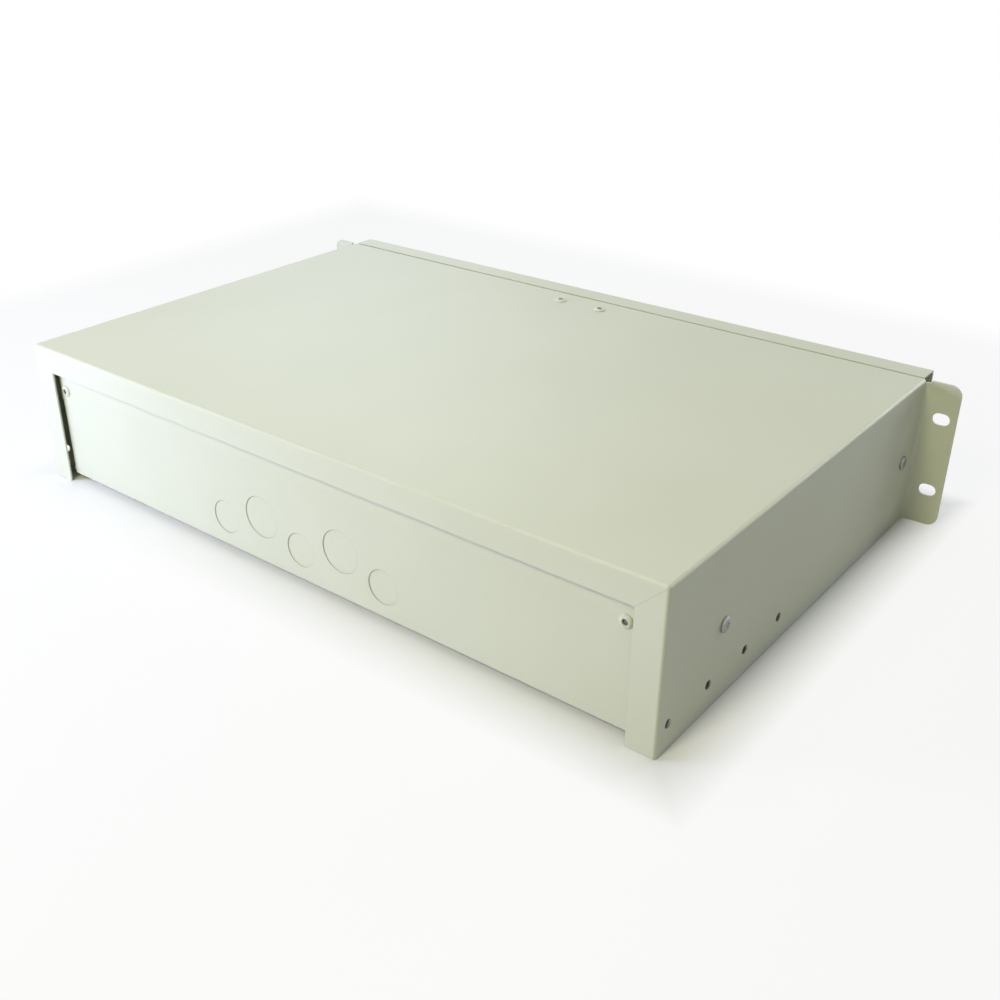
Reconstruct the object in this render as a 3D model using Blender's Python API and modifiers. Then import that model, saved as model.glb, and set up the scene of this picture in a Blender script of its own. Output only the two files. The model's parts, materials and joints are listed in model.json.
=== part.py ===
"""Drawer-type fiber termination box for a 19-inch rack, two units high.

The origin is at the bottom centre of the whole box. The front, with the door, faces -Y.
Depths are counted from the rear face of the rack ears, positive towards the back.
"""
import math

import bmesh
import bpy
from mathutils import Matrix, Quaternion, Vector

MM = 0.001
QUARTER = math.pi / 2
TINY = 1e-6
SHARP_ANGLE = math.radians(35)
SQUARE = 0.9999

# Fits and facets
SEAT = 0.3 * MM
RUN_GAP = 0.3 * MM
WIDE_GAP = 0.4 * MM
HOLE_ROOM = 0.35 * MM
BEND_STEPS = 4
ROUND_STEPS = 12
HEAD_STEPS = 16
LARGE_ROUND_STEPS = 20
SIDES = ((-1, "left"), (1, "right"))
FROM_THE_SIDE = Matrix(((0, 0, 1, 0), (1, 0, 0, 0), (0, 1, 0, 0), (0, 0, 0, 1)))

# Rack ears
RACK_WIDTH = 482.6 * MM
EAR_WIDTH = 20.3 * MM
SLOT_EDGE = 8.75 * MM
SLOT_SPACING_Z = 44.45 * MM
SLOT_LENGTH = 10.0 * MM
SLOT_HEIGHT = 7.0 * MM
EAR_BEND = 2.0 * MM
EAR_CORNER = 6.0 * MM
EAR_NOTCH = 0.8 * MM
EAR_DROP = 0.4 * MM

# Outer shell
SHEET = 1.2 * MM
SHELL_HEIGHT = 88.0 * MM
SHELL_DEPTH = 280.0 * MM
SHELL_BEND = 2.0 * MM
REAR_BEND = 1.6 * MM
TOP_FLANGE = 15.4 * MM
SIDE_FLANGE = 15.7 * MM
REAR_CORNER_RISE = 0.45 * MM
FLANGE_CORNER = 0.8 * MM
TOP_SETBACK = 0.6 * MM
SIDE_HOLE = 5.0 * MM
SIDE_HOLE_PITCH = 35.2 * MM
SIDE_HOLE_FROM_REAR = 9.0 * MM
SIDE_HOLE_HEIGHT = 14.6 * MM
SIDE_HOLE_COUNT = 4

# Ball slides
SLIDE_SPACE = 10.3 * MM
SLIDE_HEIGHT = 42.2 * MM
SLIDE_TRAVEL = 170.0 * MM
RAIL_TALL = 27.0 * MM
RAIL_SHEET = 1.2 * MM
RAIL_BEND = 1.5 * MM
RAIL_FRONT = 8.0 * MM
RAIL_REAR_ROOM = 28.8 * MM
RAIL_TO_DRAWER = 0.9 * MM
BALL_PLAY = 0.1 * MM
BALL_COUNT = 4
BALL_STEPS = 8
CAGE_SHEET = 0.8 * MM
CAGE_BEND = 1.2 * MM
CAGE_LENGTH = 58.0 * MM
CAGE_RIM = 1.1 * MM
INNER_SETBACK = 6.0 * MM
OUTER_SCREW_FRONT = 9.0 * MM
OUTER_SCREW_REAR = 24.0 * MM
INNER_SCREW_FRONT = 32.0 * MM
INNER_SCREW_REAR = 48.0 * MM

# Screws and rivets
SCREW = 3.8 * MM
SCREW_HEAD = 8.0 * MM
SCREW_RISE = 1.7 * MM
CROSS_LENGTH = 4.4 * MM
CROSS_WIDTH = 1.0 * MM
CROSS_DEPTH = 1.0 * MM
SCREW_SPARE = 1.6 * MM
HEAD_CROWN = 0.7
HEAD_SHOULDER = 0.5
RIVET = 4.0 * MM
RIVET_HEAD = 8.0 * MM
RIVET_RISE = 1.1 * MM
RIVET_TAIL = 5.6 * MM
MANDREL = 2.6 * MM
MANDREL_DEPTH = 0.8 * MM
RIVET_SHOULDER = 0.8
RIVET_BRIM = 0.2

# Drawer
DRAWER_LIFT = 3.7 * MM
DRAWER_BEND = 2.0 * MM
DRAWER_SIDE_GAP = 16.0 * MM
REAR_RECESS = 4.0 * MM
REAR_WALL_GAP = 9.0 * MM
REAR_WALL_INSET = 5.0 * MM
REAR_RETURN = 8.0 * MM
REAR_RIVET_EDGE = 4.7 * MM
REAR_RIVET_HEIGHT = 61.2 * MM
TAB_LENGTH = 16.0 * MM
TAB_TALL = 16.0 * MM
SIDE_CUT_BACK = 16.0 * MM
FLOOR_OVERHANG = 9.5 * MM
EAR_FRONT_REACH = 4.6 * MM
HINGE_EAR_TOP = 18.0 * MM
EAR_CUT_CORNER = 4.0 * MM

# Cable knockouts, from the left seen from behind
KNOCKOUT_COUNT = 5
KNOCKOUT_STEPS = 24
KNOCKOUT_PITCH = 29.5 * MM
KNOCKOUT_SMALL = 19.6 * MM
KNOCKOUT_LARGE = 24.4 * MM
KNOCKOUT_LOW = 22.4 * MM
KNOCKOUT_HIGH = 32.2 * MM
KNOCKOUT_STEP = 0.5 * MM

# Front door
DOOR_END_GAP = 2.0 * MM
DOOR_DEPTH = 16.4 * MM
DOOR_BOTTOM = 5.0 * MM
DOOR_BEND = 2.0 * MM
HINGE_INSET = 7.0 * MM
HINGE_PIN = 4.0 * MM
PIN_HEAD = 7.0 * MM
PIN_HEAD_RISE = 1.4 * MM
LUG_RADIUS = 4.5 * MM
LUG_ROOM = 0.6 * MM
LUG_BASE_LOW = 2.0 * MM
LUG_BASE_TALL = 9.0 * MM
LUG_BASE_WIDTH = 18.0 * MM
PULL_WIDE = 64.0 * MM
PULL_TALL = 20.0 * MM
PULL_DEEP = 9.0 * MM
PULL_WALL = 1.6 * MM
PULL_CORNER = 5.0 * MM
PULL_RIM = 3.0 * MM
PULL_RIM_THICK = 1.2 * MM

# Magnetic door catch
CATCH_X = 2.7 * MM
CATCH_DEPTH = 15.2 * MM
CATCH_RIVET_SPACING = 30.6 * MM
CATCH_LENGTH = 46.0 * MM
CATCH_WIDTH = 14.0 * MM
CATCH_PLATE = 2.5 * MM
CATCH_BOX_LENGTH = 19.0 * MM
CATCH_TALL = 13.0 * MM
MAGNET_LENGTH = 14.0 * MM
MAGNET_TALL = 7.0 * MM
MAGNET_POCKET = 9.0 * MM
MAGNET_PROUD = 1.0 * MM
STRIKE_WIDTH = 36.0 * MM
STRIKE_ARM_DROP = 17.0 * MM
STRIKE_FOOT = 13.0 * MM
STRIKE_FACE = 12.0 * MM
STRIKE_BEND = 1.6 * MM

# Adapter panel and adapters
PANEL_DEPTH = 58.0 * MM
PANEL_GAP = 24.0 * MM
PANEL_FOOT = 12.0 * MM
PANEL_LIP = 8.0 * MM
PANEL_BEND = 1.8 * MM
PANEL_SIDE_GAP = 0.4 * MM
PANEL_SCREW_EDGE = 62.9 * MM
ADAPTER_COUNT = 6
ADAPTER_PITCH = 58.0 * MM
ADAPTER_HEIGHT = 37.0 * MM
ADAPTER_SIDE = 0.5 * MM
ADAPTER_WALL = 1.2 * MM
ADAPTER_LONG = 27.4 * MM
ADAPTER_EAR = 4.7 * MM
ADAPTER_BROW = 1.6 * MM
ADAPTER_FLANGE = 2.0 * MM
PORT_COUNT = 4
PORT_PITCH = 6.25 * MM
PORT_WIDE = 5.0 * MM
PORT_TALL = 7.0 * MM
PORT_DEEP = 11.0 * MM
PLUG_LONG = 8.0 * MM
GRIP_LONG = 6.5 * MM
GRIP_INSET_X = 1.2 * MM
GRIP_INSET_Z = 0.9 * MM
GRIP_TAPER = 0.85

# Splice trays
TRAY_REAR_ROOM = 13.5 * MM
TRAY_LONG = 180.0 * MM
TRAY_WIDE = 115.0 * MM
TRAY_TALL = 11.0 * MM
TRAY_WALL = 1.6 * MM
TRAY_CORNER = 18.0 * MM
TRAY_COVER = 1.4 * MM
GUIDE_END_ROOM = 10.4 * MM
GUIDE_RADIUS = 26.0 * MM
GUIDE_TALL = 7.0 * MM
COMB_LONG = 34.0 * MM
COMB_TALL = 6.5 * MM
COMB_BASE = 2.0 * MM
COMB_TEETH = 7
COMB_TOOTH = 1.6 * MM
COMB_PITCH = 3.9 * MM
POST = 5.0 * MM
POST_REAR_ROOM = 13.5 * MM
POST_SPARE = 1.5 * MM
THUMB_NUT = 15.0 * MM
THUMB_NUT_TALL = 8.0 * MM
THUMB_NUT_LOBES = 10
LOBE_POINTS = 4
THUMB_NUT_GRIP = 0.8 * MM

# Fiber spools
SPOOL_BASE = 74.0 * MM
SPOOL_HUB = 52.0 * MM
SPOOL_TOP = 64.0 * MM
SPOOL_TALL = 22.0 * MM
SPOOL_FLANGE = 2.0 * MM

# Cable anchoring at the back
ANCHOR_REAR_ROOM = 24.8 * MM
ANCHOR_FOOT = 14.0 * MM
ANCHOR_TALL = 34.0 * MM
ANCHOR_WIDTH = 140.0 * MM
ANCHOR_BEND = 1.8 * MM
ANCHOR_SLOT_WIDE = 9.0 * MM
ANCHOR_SLOT_DEEP = 16.0 * MM
ANCHOR_SCREW_EDGE = 12.0 * MM
CLAMP_SIDE_ROOM = 16.0 * MM
CLAMP_AHEAD = 10.0 * MM
CLAMP_WIDE = 16.0 * MM
CLAMP_LONG = 12.0 * MM
CLAMP_TALL = 8.0 * MM
CLAMP_GROOVE = 3.0 * MM

# Cord guides behind the door
CORD_GUIDE_SIDE_ROOM = 89.5 * MM
CORD_GUIDE_LONG = 30.0 * MM
CORD_GUIDE_TALL = 30.0 * MM
CORD_GUIDE_THICK = 2.6 * MM
CORD_GUIDE_WIDE = 8.0 * MM
CORD_GUIDE_BEND = 6.0 * MM
CORD_GUIDE_MOUTH = 8.0 * MM
CORD_GUIDE_FRONT = -7.0 * MM

# Places that follow from the sizes above
SCREW_HOLE = SCREW / 2 + HOLE_ROOM
RIVET_HOLE = RIVET / 2 + HOLE_ROOM
CUT_REACH = 4 * SHEET
SHELL_HALF = RACK_WIDTH / 2 - EAR_WIDTH
SLOT_X = RACK_WIDTH / 2 - SLOT_EDGE
PULL_PROUD = SEAT + PULL_RIM_THICK
EAR_Y = (DOOR_DEPTH + PULL_PROUD - SHELL_DEPTH) / 2
WALL_INNER = SHELL_HALF - SHEET
DRAWER_HALF = WALL_INNER - SLIDE_SPACE
DRAWER_SIDE_TOP = SHELL_HEIGHT - DRAWER_SIDE_GAP
FLOOR_TOP = DRAWER_LIFT + SHEET
FLOOR_SEAT = FLOOR_TOP + SEAT
REAR_WALL_TOP = SHELL_HEIGHT - REAR_WALL_GAP
REAR_WALL_HALF = DRAWER_HALF - REAR_WALL_INSET
REAR_FACE = SHELL_DEPTH - REAR_RECESS
REAR_INSIDE = REAR_FACE - SHEET
TAB_FACE = REAR_INSIDE - SEAT
DOOR_WIDTH = 2 * (SHELL_HALF - DOOR_END_GAP)
DOOR_INSIDE = -DOOR_DEPTH + SHEET
HINGE_DEPTH = DOOR_INSIDE + HINGE_INSET
HINGE_HEIGHT = FLOOR_TOP + LUG_ROOM + LUG_RADIUS
PULL_HEIGHT = SHELL_HEIGHT / 2
MAGNET_FACE = CATCH_DEPTH - CATCH_WIDTH / 2 - MAGNET_PROUD
STRIKE_ARM_HEIGHT = SHELL_HEIGHT - STRIKE_ARM_DROP
PANEL_HALF = DRAWER_HALF - SHEET - PANEL_SIDE_GAP
PANEL_TOP = SHELL_HEIGHT - PANEL_GAP
ADAPTER_WIDE = PORT_COUNT * PORT_PITCH + 2 * ADAPTER_SIDE
ADAPTER_TALL = PORT_TALL + 2 * ADAPTER_WALL
GRIP_WIDE = ADAPTER_WIDE - 2 * GRIP_INSET_X
GRIP_TALL = ADAPTER_TALL - 2 * GRIP_INSET_Z
ANCHOR_DEPTH = REAR_INSIDE - ANCHOR_REAR_ROOM
CLAMP_X = ANCHOR_WIDTH / 2 + CLAMP_SIDE_ROOM + CLAMP_WIDE / 2
TRAY_DEPTH_AT = ANCHOR_DEPTH - ANCHOR_FOOT - TRAY_REAR_ROOM - TRAY_WIDE / 2
GUIDE_OFFSET = TRAY_LONG / 2 - TRAY_WALL - GUIDE_END_ROOM - GUIDE_RADIUS
SPOOL_X = (TRAY_LONG / 2 + DRAWER_HALF - SHEET) / 2

# Slide section: u runs from the shell wall to the drawer, v up from the slide's centre
OUTER_TOP = RAIL_TALL / 2
OUTER_WEB = SEAT
CAGE_WEB = OUTER_WEB + RAIL_SHEET + RUN_GAP
INNER_LIP = CAGE_WEB + CAGE_SHEET + WIDE_GAP
INNER_WEB = SLIDE_SPACE - SEAT - RAIL_SHEET
OUTER_LIP = SLIDE_SPACE - RAIL_TO_DRAWER
BALL = OUTER_LIP - INNER_LIP - 2 * RAIL_SHEET - 2 * BALL_PLAY
BALL_U = (INNER_LIP + OUTER_LIP) / 2
BALL_V = OUTER_TOP - RAIL_SHEET - RUN_GAP - BALL / 2
CAGE_TOP = BALL_V + CAGE_SHEET / 2
INNER_TOP = BALL_V - BALL / 2 - RUN_GAP - RAIL_SHEET
INNER_LIP_TIP = CAGE_TOP - CAGE_SHEET - WIDE_GAP
OUTER_LIP_TIP = CAGE_TOP + WIDE_GAP
CAGE_END = SLIDE_SPACE - CAGE_RIM
RAIL_REAR = SHELL_DEPTH - SHEET - RAIL_REAR_ROOM
INNER_REAR = RAIL_REAR - INNER_SETBACK
RAIL_OVERLAP = INNER_REAR - RAIL_FRONT - SLIDE_TRAVEL
CAGE_FRONT = RAIL_FRONT + (RAIL_OVERLAP - CAGE_LENGTH) / 2 + SLIDE_TRAVEL / 2
OUTER_SCREWS = (("front", RAIL_FRONT + OUTER_SCREW_FRONT), ("rear", RAIL_REAR - OUTER_SCREW_REAR))
INNER_SCREWS = (("front", RAIL_FRONT + INNER_SCREW_FRONT), ("rear", INNER_REAR - INNER_SCREW_REAR))

# Finishes: linear colour, roughness, metallic
FINISHES = {
    "paint": ((0.68, 0.71, 0.62), 0.5, 0.0),
    "zinc": ((0.62, 0.62, 0.60), 0.35, 1.0),
    "steel": ((0.50, 0.51, 0.52), 0.3, 1.0),
    "black": ((0.02, 0.02, 0.022), 0.45, 0.0),
    "white": ((0.78, 0.78, 0.75), 0.5, 0.0),
    "blue": ((0.03, 0.12, 0.42), 0.4, 0.0),
    "clear": ((0.75, 0.78, 0.80), 0.15, 0.0),
    "magnet": ((0.10, 0.10, 0.11), 0.5, 0.3),
}


def depth(value):
    """World Y of a depth behind the rear face of the ears."""
    return EAR_Y + value


def clear_scene():
    for obj in list(bpy.data.objects):
        bpy.data.objects.remove(obj)


def new_collection(name):
    collection = bpy.data.collections.new(name)
    bpy.context.scene.collection.children.link(collection)
    return collection


def new_empty(name, place):
    empty = bpy.data.objects.new(name, None)
    empty.location = place
    PARTS.objects.link(empty)
    return empty


def new_material(name, finish):
    colour, roughness, metallic = FINISHES[finish]
    material = bpy.data.materials.new(name)
    material.use_nodes = True
    shader = material.node_tree.nodes["Principled BSDF"]
    shader.inputs["Base Color"].default_value = (*colour, 1.0)
    shader.inputs["Roughness"].default_value = roughness
    shader.inputs["Metallic"].default_value = metallic
    material.diffuse_color = (*colour, 1.0)
    return material


def shade_rounds(mesh):
    """Smooth bends and round sides, and flat faces wherever a face is square to an axis."""
    mesh.shade_smooth()
    mesh.set_sharp_from_angle(angle=SHARP_ANGLE)
    for face in mesh.polygons:
        face.use_smooth = max(abs(part) for part in face.normal) < SQUARE


def new_piece(name, mesh, finish, carrier=None):
    """A named part of the box, carried by the empty of the body that it moves with."""
    mesh.name = name
    mesh.materials.clear()
    mesh.materials.append(new_material(name, finish))
    shade_rounds(mesh)
    piece = bpy.data.objects.new(name, mesh)
    PARTS.objects.link(piece)
    if carrier:
        piece.parent = carrier
        piece.matrix_parent_inverse = Matrix.Translation(carrier.location).inverted()
    return piece


def mesh_from(bm):
    mesh = bpy.data.meshes.new("mesh")
    bm.to_mesh(mesh)
    bm.free()
    return mesh


def combine(piece, name, bm, operation="DIFFERENCE"):
    """Cut a mesh out of a piece, or add it, with a cutter that moves with the piece's carrier."""
    tool = bpy.data.objects.new(piece.name + "_" + name, mesh_from(bm))
    tool.hide_render = True
    tool.display_type = "WIRE"
    tool.parent = piece.parent
    tool.matrix_parent_inverse = piece.matrix_parent_inverse
    CUTTERS.objects.link(tool)
    modifier = piece.modifiers.new(name, "BOOLEAN")
    modifier.operation = operation
    modifier.object = tool


def add_block(bm, low, high):
    low, high = Vector(low), Vector(high)
    matrix = Matrix.Translation((low + high) / 2) @ Matrix.Diagonal((*(high - low), 1.0))
    return bmesh.ops.create_cube(bm, size=1.0, matrix=matrix)["verts"]


def add_rod(bm, start, end, radius, steps=ROUND_STEPS):
    start, end = Vector(start), Vector(end)
    turn = Vector((0, 0, 1)).rotation_difference(end - start).to_matrix().to_4x4()
    matrix = Matrix.Translation((start + end) / 2) @ turn
    made = bmesh.ops.create_cone(bm, cap_ends=True, segments=steps, radius1=radius, radius2=radius,
                                 depth=(end - start).length, matrix=matrix)
    return made["verts"]


def add_slot(bm, centre, length, height, reach):
    """A prism with round ends, long in X, through the sheet in Y."""
    radius = height / 2
    outline = arc((length / 2 - radius, 0), radius, -QUARTER, QUARTER, ROUND_STEPS // 2)
    outline += arc((radius - length / 2, 0), radius, QUARTER, 3 * QUARTER, ROUND_STEPS // 2)
    place = Matrix.Translation(centre) @ Matrix.Rotation(QUARTER, 4, "X")
    bm.from_mesh(moved(extruded(outline, 2 * reach), place))


def fillet(path, radius):
    """The path with each inner corner replaced by an arc."""
    points = [path[0]]
    for before, corner, after in zip(path, path[1:], path[2:]):
        to_before = (before - corner).normalized()
        to_after = (after - corner).normalized()
        half_angle = to_before.angle(to_after) / 2
        centre = corner + (to_before + to_after).normalized() * radius / math.sin(half_angle)
        arm = corner + to_before * radius / math.tan(half_angle) - centre
        axis = to_after.cross(to_before)
        sweep = math.pi - 2 * half_angle
        for step in range(BEND_STEPS + 1):
            points.append(centre + Quaternion(axis, sweep * step / BEND_STEPS) @ arm)
    points.append(path[-1])
    return points


def sheet_strip(path, radius, run):
    """A sheet face bent along a path and carried straight along the run."""
    bm = bmesh.new()
    verts = [bm.verts.new(point) for point in fillet([Vector(point) for point in path], radius)]
    edges = [bm.edges.new(pair) for pair in zip(verts, verts[1:])]
    extend(bm, edges, run)
    return bm


def extend(bm, edges, run):
    """Carry the sheet on from free edges, and give its new free edges."""
    grown = bmesh.ops.extrude_edge_only(bm, edges=edges)["geom"]
    verts = [item for item in grown if isinstance(item, bmesh.types.BMVert)]
    bmesh.ops.translate(bm, verts=verts, vec=Vector(run))
    fresh = set(verts)
    return [item for item in grown if isinstance(item, bmesh.types.BMEdge) and set(item.verts) <= fresh]


def fold(bm, edges, pivot, axis, angle, run):
    """Bend the sheet at free edges round a press line, then carry it straight on."""
    corners = list({vert for edge in edges for vert in edge.verts})
    bent = bmesh.ops.spin(bm, geom=corners + edges, cent=pivot, axis=axis, dvec=(0, 0, 0), angle=angle,
                          steps=BEND_STEPS, use_merge=False, use_duplicate=False)["geom_last"]
    return extend(bm, [item for item in bent if isinstance(item, bmesh.types.BMEdge)], run)


def free_edges(bm, test):
    return [edge for edge in bm.edges if edge.is_boundary and all(test(vert.co) for vert in edge.verts)]


def near(a, b):
    return abs(a - b) < TINY


def round_corners(bm, radius, test):
    corners = [vert for vert in bm.verts if test(vert.co)]
    bmesh.ops.bevel(bm, geom=corners, offset=radius, offset_type="OFFSET", segments=BEND_STEPS, profile=0.5,
                    affect="VERTICES", clamp_overlap=True)


def face_out(bm, direction):
    """Turn every face to the side that the face furthest along the direction looks to."""
    bmesh.ops.recalc_face_normals(bm, faces=bm.faces[:])
    direction = Vector(direction)
    last = max(bm.faces, key=lambda face: face.calc_center_median().dot(direction))
    if last.normal.dot(direction) < 0:
        bmesh.ops.reverse_faces(bm, faces=bm.faces[:])


def sheet_piece(name, bm, out, thickness, finish, carrier=None):
    """A folded sheet whose modelled face is the outer one, with its thickness behind that face."""
    face_out(bm, out)
    piece = new_piece(name, mesh_from(bm), finish, carrier)
    solidify = piece.modifiers.new("Sheet", "SOLIDIFY")
    solidify.thickness = thickness
    solidify.offset = -1.0
    solidify.use_even_offset = True
    return piece


def baked(obj):
    """The object's shape with its modifiers applied, welded into a plain closed mesh."""
    graph = bpy.context.evaluated_depsgraph_get()
    mesh = bpy.data.meshes.new_from_object(obj.evaluated_get(graph))
    bm = bmesh.new()
    bm.from_mesh(mesh)
    bm.transform(obj.matrix_world)
    bmesh.ops.remove_doubles(bm, verts=bm.verts[:], dist=TINY)
    bmesh.ops.recalc_face_normals(bm, faces=bm.faces[:])
    bm.to_mesh(mesh)
    bm.free()
    for modifier in obj.modifiers:
        if modifier.type == "BOOLEAN":
            bpy.data.objects.remove(modifier.object)
    bpy.data.objects.remove(obj)
    return mesh


def turned(profile, steps=ROUND_STEPS):
    """A mesh turned about Z from radius and height pairs that run down its outer side."""
    mesh = bpy.data.meshes.new("profile")
    points = [(radius, 0.0, height) for radius, height in profile]
    mesh.from_pydata(points, [(i, i + 1) for i in range(len(points) - 1)], [])
    obj = bpy.data.objects.new("profile", mesh)
    PARTS.objects.link(obj)
    screw = obj.modifiers.new("Turn", "SCREW")
    screw.axis = "Z"
    screw.steps = steps
    screw.render_steps = steps
    screw.use_merge_vertices = True
    screw.merge_threshold = TINY
    return baked(obj)


def extruded(outline, length):
    """A mesh of a flat XY outline carried along Z, centred on it."""
    curve = bpy.data.curves.new("outline", "CURVE")
    curve.dimensions = "2D"
    curve.fill_mode = "BOTH"
    curve.extrude = length / 2
    spline = curve.splines.new("POLY")
    spline.points.add(len(outline) - 1)
    for point, (x, y) in zip(spline.points, outline):
        point.co = (x, y, 0.0, 1.0)
    spline.use_cyclic_u = True
    obj = bpy.data.objects.new("outline", curve)
    PARTS.objects.link(obj)
    return baked(obj)


def moved(mesh, place):
    """The mesh put to a place."""
    mesh.transform(place)
    return mesh


def copies(named_places, mesh, finish, carrier=None):
    """One part with a copy of the mesh at each named place."""
    for name, place in named_places:
        piece = new_piece(name, mesh.copy(), finish, carrier)
        piece.matrix_basis = place
    bpy.data.meshes.remove(mesh)


def aimed(place, direction):
    """A matrix that moves a turned piece to a place and points its Z along a direction."""
    turn = Vector((0, 0, 1)).rotation_difference(Vector(direction)).to_matrix().to_4x4()
    return Matrix.Translation(place) @ turn


def arc(centre, radius, start, end, steps):
    """Points on a circle from one angle to another, both ends included."""
    angles = [start + (end - start) * i / steps for i in range(steps + 1)]
    return [(centre[0] + radius * math.cos(a), centre[1] + radius * math.sin(a)) for a in angles]


def screw_mesh(length):
    """Pan head with a cross recess above Z = 0 and a shank below."""
    head, rise = SCREW_HEAD / 2, SCREW_RISE
    profile = [(0.0, rise), (head * HEAD_CROWN, rise), (head, rise * HEAD_SHOULDER), (head, 0.0),
               (SCREW / 2, 0.0), (SCREW / 2, -length), (0.0, -length)]
    screw = bpy.data.objects.new("screw", turned(profile))
    PARTS.objects.link(screw)
    for wide, tall in ((CROSS_LENGTH, CROSS_WIDTH), (CROSS_WIDTH, CROSS_LENGTH)):
        arm = bmesh.new()
        add_block(arm, (-wide / 2, -tall / 2, rise - CROSS_DEPTH), (wide / 2, tall / 2, 2 * rise))
        combine(screw, "cross", arm)
    return baked(screw)


def rivet_mesh(grip):
    """Blind rivet: domed head with a sunk mandrel above Z = 0, shank and set tail below."""
    head, shank, tail = RIVET_HEAD / 2, RIVET / 2, RIVET_TAIL / 2
    mandrel, sunk = MANDREL / 2, RIVET_RISE - MANDREL_DEPTH
    profile = [(0.0, sunk), (mandrel, sunk), (mandrel, RIVET_RISE),
               (head * HEAD_CROWN, RIVET_RISE * RIVET_SHOULDER), (head, RIVET_RISE * RIVET_BRIM), (head, 0.0),
               (shank, 0.0), (shank, -grip), (tail, -grip - SEAT), (tail, -grip - RIVET),
               (0.0, -grip - RIVET)]
    return turned(profile, HEAD_STEPS)


def build_outer_shell():
    """Top and sides from one strip, with rear flanges folded in and rack ears folded out."""
    front, rear = depth(EAR_BEND), depth(SHELL_DEPTH - REAR_BEND)
    height = SHELL_HEIGHT
    straight = height - SHELL_BEND
    path = [(-SHELL_HALF, front, 0), (-SHELL_HALF, front, height), (SHELL_HALF, front, height),
            (SHELL_HALF, front, 0)]
    bm = sheet_strip(path, SHELL_BEND, (0, rear - front, 0))
    top_front = free_edges(bm, lambda v: near(v.y, front) and v.z > straight - TINY)
    extend(bm, top_front, (0, TOP_SETBACK - EAR_BEND, 0))

    for side, hand in SIDES:
        wall = side * SHELL_HALF
        press = (wall + side * EAR_BEND, front, 0)
        edge = free_edges(bm, lambda v: near(v.y, front) and near(v.x, wall) and v.z < straight + TINY)
        tip = fold(bm, edge, press, (0, 0, 1), side * QUARTER, (side * EAR_NOTCH, 0, 0))
        root = press[0] + side * EAR_NOTCH
        extend(bm, tip, (side * RACK_WIDTH / 2 - root, 0, 0))
        crest = free_edges(bm, lambda v: near(v.y, depth(0)) and near(v.z, straight)
                           and side * v.x > side * root - TINY)
        extend(bm, crest, (0, 0, SHELL_BEND - EAR_DROP))
        bmesh.ops.dissolve_edges(bm, edges=crest, use_verts=True)
    round_corners(bm, EAR_CORNER, lambda v: near(abs(v.x), RACK_WIDTH / 2))

    top_rear = free_edges(bm, lambda v: near(v.y, rear) and near(v.z, height))
    fold(bm, top_rear, (0, rear, height - REAR_BEND), (1, 0, 0), -QUARTER, (0, 0, REAR_BEND - TOP_FLANGE))
    for side, hand in SIDES:
        wall = side * SHELL_HALF
        edge = free_edges(bm, lambda v: near(v.y, rear) and near(v.x, wall) and v.z < straight + TINY)
        press = (wall - side * REAR_BEND, rear, 0)
        fold(bm, edge, press, (0, 0, 1), side * QUARTER, (side * (REAR_BEND - SIDE_FLANGE), 0, 0))

    # Join the flanges along their mitres
    rear_face = depth(SHELL_DEPTH)
    inner_x, inner_z = SHELL_HALF - SIDE_FLANGE, height - TOP_FLANGE
    inset = (SHELL_BEND + REAR_BEND) / 2
    for vert in bm.verts:
        if near(vert.co.y, rear_face) and vert.co.z > TINY:
            at_tip = near(vert.co.z, inner_z) or near(abs(vert.co.x), inner_x)
            vert.co.x = math.copysign(inner_x if at_tip else SHELL_HALF - inset, vert.co.x)
            vert.co.z = inner_z if at_tip else height - inset
    bmesh.ops.remove_doubles(bm, verts=bm.verts[:], dist=TINY)

    # Close the round corners between the three bends
    for side, hand in SIDES:
        corner = Vector((side * SHELL_HALF, rear, height))
        loop = free_edges(bm, lambda v: (v - corner).length < SHELL_BEND + REAR_BEND)
        patch = bmesh.ops.contextual_create(bm, geom=loop)["faces"]
        crown = bmesh.ops.poke(bm, faces=patch)["verts"][0]
        crown.co += Vector((side, 1, 1)).normalized() * REAR_CORNER_RISE
    round_corners(bm, FLANGE_CORNER,
                  lambda v: near(v.y, rear_face) and near(abs(v.x), inner_x) and near(v.z, 0))
    shell = sheet_piece("outer_shell", bm, (0, 0, 1), SHEET, "paint")

    slots = bmesh.new()
    for side, hand in SIDES:
        for z in (height / 2 - SLOT_SPACING_Z / 2, height / 2 + SLOT_SPACING_Z / 2):
            add_slot(slots, (side * SLOT_X, depth(0), z), SLOT_LENGTH, SLOT_HEIGHT, CUT_REACH)
    combine(shell, "slots", slots)

    holes = bmesh.new()
    reach = SHELL_HALF + SHEET
    for i in range(SIDE_HOLE_COUNT):
        y = depth(SHELL_DEPTH - SIDE_HOLE_FROM_REAR - i * SIDE_HOLE_PITCH)
        add_rod(holes, (-reach, y, SIDE_HOLE_HEIGHT), (reach, y, SIDE_HOLE_HEIGHT), SIDE_HOLE / 2,
                HEAD_STEPS)
    for name, at in OUTER_SCREWS:
        add_rod(holes, (-reach, depth(at), SLIDE_HEIGHT), (reach, depth(at), SLIDE_HEIGHT), SCREW_HOLE)
    for side, hand in SIDES:
        place = catch_rivet_place(side)
        add_rod(holes, place - Vector((0, 0, CUT_REACH)), place + Vector((0, 0, SHEET)), RIVET_HOLE)
    combine(shell, "holes", holes)


def catch_rivet_place(side):
    return Vector((CATCH_X + side * CATCH_RIVET_SPACING / 2, depth(CATCH_DEPTH), SHELL_HEIGHT + SEAT))


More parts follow.
